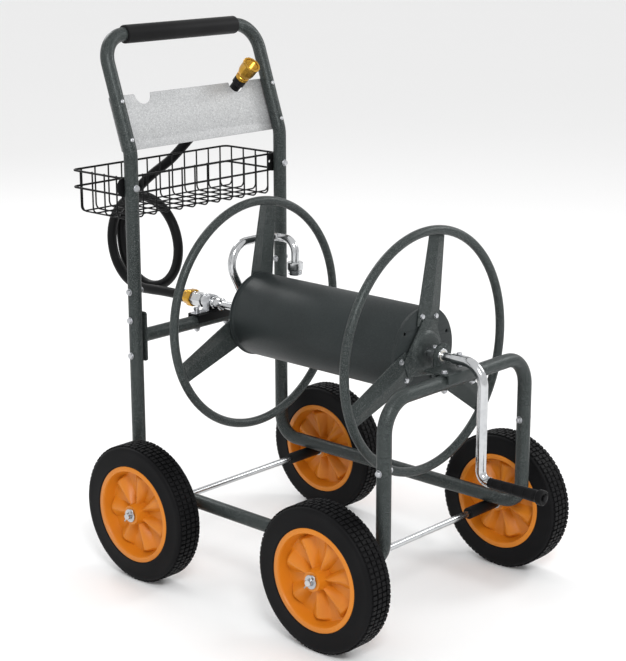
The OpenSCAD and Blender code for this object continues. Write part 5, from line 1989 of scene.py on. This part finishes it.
@dataclass
class Wheels:
    """Dished plastic rims with raised spokes, and tyres with rows of lugs."""

    shop: Workshop
    layout: Layout
    spokes: int = 7
    band: float = 8.5 * MM
    lug_rows: int = 4
    lugs: int = 44

    PHASES = {"front_left": 27.0, "rear_left": 44.0, "rear_right": 15.0, "front_right": 45.0}

    @staticmethod
    def turned(side: Side, phase_deg: float) -> Matrix:
        """Turn that lays a rim's face outward with one spoke at an angle.

        Args:
            side: the side of the cart.
            phase_deg: angle of a spoke from straight up towards the handle.

        Returns:
            The turn.
        """
        a = math.radians(phase_deg)
        up = Vector((0, math.sin(a), math.cos(a)))
        out = Vector((side.value, 0, 0))
        across = out.cross(up)
        return Matrix((up, across, out)).transposed().to_4x4()

    def face_height(self, r: float, angle: float, rim_r: float, half_w: float, hub_half: float) -> float:
        """Height of the rim's face above its middle plane.

        Args:
            r: distance from the axle.
            angle: angle around it.
            rim_r: the rim's outer radius.
            half_w: half its width.
            hub_half: half the hub's width.

        Returns:
            The height.
        """
        def step(x: float, a: float, b: float) -> float:
            """Smooth step."""
            t = min(1.0, max(0.0, (x - a) / (b - a)))
            return t * t * (3 - 2 * t)

        floor = 4 * MM
        wall = step(r, rim_r - self.band - 7 * MM, rim_r - self.band)
        hub = 1 - step(r, 17 * MM, 21 * MM)
        share = 2 * math.pi / self.spokes
        off = abs((angle + share / 2) % share - share / 2) * r
        t = min(1.0, max(0.0, (r - 18 * MM) / (54 * MM)))
        half = (5.5 + 15.5 * t) * MM
        crest = (18 - 2 * t) * MM
        arch = 1 - (off / half) ** 1.7 if off < half else 0.0
        end = 1 - step(r, rim_r - self.band - 12 * MM, rim_r - self.band - 5 * MM)
        z = floor + (crest - floor) * arch * end
        z = max(z, floor + (hub_half - 0.5 * MM - floor) * hub)
        return z + (half_w - z) * wall

    def rim(
        self, name: str, place: Matrix, rim_r: float, half_w: float, hub_half: float, bore: float,
        nodes: str
    ) -> bpy.types.Object:
        """One rim with both its faces."""
        shape = bmesh.new()
        around = self.spokes * 24
        radii = [bore, bore + 1 * MM, 9 * MM, 13 * MM, 17 * MM, 18.4 * MM, 19.8 * MM, 21.2 * MM]
        radii += [21.2 * MM + (rim_r - self.band - 14 * MM - 21.2 * MM) * k / 12 for k in range(1, 13)]
        radii += [
            rim_r - self.band - d * MM for d in (12, 10, 8, 6.5, 5, 3.5, 2, 1, 0)
        ] + [rim_r - 0.8 * MM, rim_r]
        loops: list[list[bmesh.types.BMVert]] = []
        for sign in (1, -1):
            for r in radii if sign > 0 else radii[::-1]:
                loop = []
                for k in range(around):
                    a = 2 * math.pi * k / around
                    z = self.face_height(r, a, rim_r, half_w, hub_half)
                    if r >= rim_r:
                        z -= 0.8 * MM
                    loop.append(shape.verts.new((r * math.cos(a), r * math.sin(a), sign * z)))
                loops.append(loop)
        for low, high in zip(loops, loops[1:] + loops[:1]):
            for k in range(around):
                n = (k + 1) % around
                shape.faces.new((low[k], low[n], high[n], high[k]))
        piece = from_bmesh(name, shape, place, 50.0)
        return self.shop.finishes.paint(piece, "rim_plastic")

    def lug(self) -> bpy.types.Object:
        """One tread lug: a block with broken edges and a slit across it."""
        blocks = []
        w, l, h, slit = 8.6 * MM, 14.4 * MM, 4.2 * MM, 1.6 * MM
        for sign in (-1, 1):
            shape = bmesh.new()
            bmesh.ops.create_cube(shape, size=1.0)
            size = Matrix.Diagonal((w, (l - slit) / 2, h, 1))
            shift = Matrix.Translation((0, sign * (l + slit) / 4, -h / 2))
            bmesh.ops.transform(shape, matrix=shift @ size, verts=shape.verts)
            top = [e for e in shape.edges if all(v.co.z > -0.001 for v in e.verts)]
            bmesh.ops.bevel(shape, geom=top, offset=0.5 * MM, segments=1, affect="EDGES")
            blocks.append(from_bmesh("block", shape, Matrix.Identity(4), 25.0))
        item = join("master_lug", blocks)
        bpy.context.scene.collection.objects.unlink(item)
        return item

    def tyre(
        self, name: str, place: Matrix, tyre_r: float, rim_r: float, half_w: float, item: bpy.types.Object
    ) -> bpy.types.Object:
        """One tyre with its lugs, about local X before it is placed."""
        d = tyre_r - 3.2 * MM
        profile = [(rim_r, -half_w + 1 * MM), (rim_r + 1.5 * MM, -half_w), (rim_r + 3 * MM, -half_w - 0.3 * MM),
                   (rim_r + 4.5 * MM, -half_w + 0.2 * MM), (tyre_r - 12 * MM, -half_w),
                   (tyre_r - 7 * MM, -half_w + 0.4 * MM), (tyre_r - 4.5 * MM, -half_w + 1.8 * MM),
                   (d, -half_w + 4 * MM)]
        profile += [(d + 0.2 * MM, 0.0)] + [(x, -z) for x, z in profile[::-1]]
        base = lathe(name + "_base", profile, Matrix.Rotation(math.radians(90), 4, "Y"), 128)
        pitch = (2 * half_w - 8 * MM) / self.lug_rows
        return self.shop.rows(
            name, item, base, place, "tyre_rubber",
            **{"Rows": self.lug_rows, "In Row": self.lugs, "Radius": tyre_r - 0.15 * MM, "Pitch": pitch}
        )

    def build(self) -> None:
        """Builds four wheels and the axles' fittings."""
        item = self.lug()
        for axle in ("rear", "front"):
            for side in Side:
                spot = f"{axle}_{side.name.lower()}"
                low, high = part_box("tyre_" + spot)
                mid = (low + high) / 2
                tyre_r, half_w = (high.z - low.z) / 2, (high.x - low.x) / 2
                hub_half = node_size("rim_" + spot).x / 2
                rim_r = node_size("rim_" + spot).z / 2
                place = Matrix.Translation(mid) @ self.turned(side, self.PHASES[spot])
                rim = self.rim("wheel_rim_" + spot, place, rim_r, half_w, hub_half, 6.1 * MM, spot)
                ride(rim, "wheel_" + spot, "rim_" + spot)
                tyre = self.tyre("wheel_tyre_" + spot, Matrix.Translation(mid), tyre_r, rim_r, half_w, item)
                ride(tyre, "wheel_" + spot, "tyre_" + spot)
        self.axles()

    def axles(self) -> None:
        """Axles, washers, cotter pins and the welded sleeves."""
        fin = self.shop.finishes
        for axle in ("rear", "front"):
            low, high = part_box("axle_" + axle)
            mid = (low + high) / 2
            r, n = (high.z - low.z) / 2, high.x - low.x
            e = 1.2 * MM
            profile = [(0, 0), (r - e, 0), (r, e), (r, n - e), (r - e, n), (0, n)]
            piece = lathe(f"axle_rod_{axle}", profile, along((low.x, mid.y, mid.z), (1, 0, 0)), 48)
            ride(fin.paint(piece, "chrome_parts"), "cart", "axle_" + axle)
        for node, finish in (
            ("axle_sleeves", "black_paint"), ("axle_washers", "zinc_fasteners"),
            ("cotter_pins", "zinc_fasteners")
        ):
            copy_node(node, node + "_set", fin, finish, 0.3 * MM if node == "axle_washers" else 0.15 * MM)


# ---------------------------------------------------------------- studio


@dataclass
class Studio:
    """Camera, lights, pale floor and background."""

    eye: Point = (-2.1557, -1.9449, 1.2326)
    target: Point = (-0.0147, 0.0334, 0.4551)
    lens: float = 97.5
    roll_deg: float = -0.13
    size: tuple[int, int] = (626, 661)

    def camera(self) -> None:
        """Sets the camera."""
        data = bpy.data.cameras.new("camera")
        data.sensor_fit = "HORIZONTAL"
        data.sensor_width = 36.0
        data.lens = self.lens
        data.clip_end = 50.0
        camera = bpy.data.objects.new("camera", data)
        view = Vector(self.target) - Vector(self.eye)
        turn = view.to_track_quat("-Z", "Y").to_matrix().to_4x4() @ Matrix.Rotation(
            math.radians(self.roll_deg), 4, "Z"
        )
        camera.matrix_world = Matrix.Translation(self.eye) @ turn
        bpy.context.scene.collection.objects.link(camera)
        bpy.context.scene.camera = camera

    def light(self, name: str, spot: Point, size: float, power: float) -> None:
        """Adds a soft square light that faces the cart."""
        data = bpy.data.lights.new(name, "AREA")
        data.shape = "SQUARE"
        data.size = size
        data.energy = power
        lamp = bpy.data.objects.new(name, data)
        aim = Vector((0, 0, 0.4)) - Vector(spot)
        lamp.matrix_world = Matrix.Translation(spot) @ aim.to_track_quat("-Z", "Y").to_matrix().to_4x4()
        bpy.context.scene.collection.objects.link(lamp)

    def floor(self) -> None:
        """Adds the pale floor."""
        shape = bmesh.new()
        bmesh.ops.create_grid(shape, x_segments=1, y_segments=1, size=30.0)
        piece = from_bmesh("floor", shape, Matrix.Translation((0, 0, -0.0005)))
        book = ShaderBook("floor_paper")
        tone = book.mix(book.noise(0.7, 1.0) * 0.2, rgb(0.93, 0.93, 0.93), rgb(0.9, 0.9, 0.9))
        piece.data.materials.append(book.dress({"Base Color": tone, "Roughness": 0.9}))

    def build(self) -> None:
        """Sets the whole studio."""
        self.camera()
        self.floor()
        world = bpy.data.worlds.new("studio")
        world.use_nodes = True
        sky = world.node_tree.nodes["Background"]
        sky.inputs["Color"].default_value = rgb(1.0, 1.0, 1.0)
        sky.inputs["Strength"].default_value = 0.9
        bpy.context.scene.world = world
        bpy.context.scene.view_settings.view_transform = "Standard"
        self.light("key", (-2.2, -2.6, 3.0), 1.0, 70.0)
        self.light("side", (2.8, -1.2, 2.2), 1.0, 26.0)
        self.light("back", (0.6, 3.0, 2.6), 1.0, 30.0)


def main() -> None:
    """Builds the cart in order."""
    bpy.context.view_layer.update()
    Studio().build()
    finishes = Finishes()
    shop = Workshop(finishes)
    layout = Layout()
    fasteners = Fasteners(shop, layout)
    fasteners.build()
    water = WaterWay(shop, layout, fasteners)
    on_hose = water.couplings()
    LeaderHose(shop).build(list(on_hose.values()))
    CartFrame(shop, layout).build()
    WireBasket(shop, layout).build()
    Reel(shop, layout, fasteners).build()
    water.build()
    Crank(shop, layout).build()
    Wheels(shop, layout).build()
    fasteners.frame_bolts()
    fasteners.saddle_bolts()


if __name__ == "__main__":
    logging.basicConfig(level=logging.INFO, format="%(message)s")
    main()
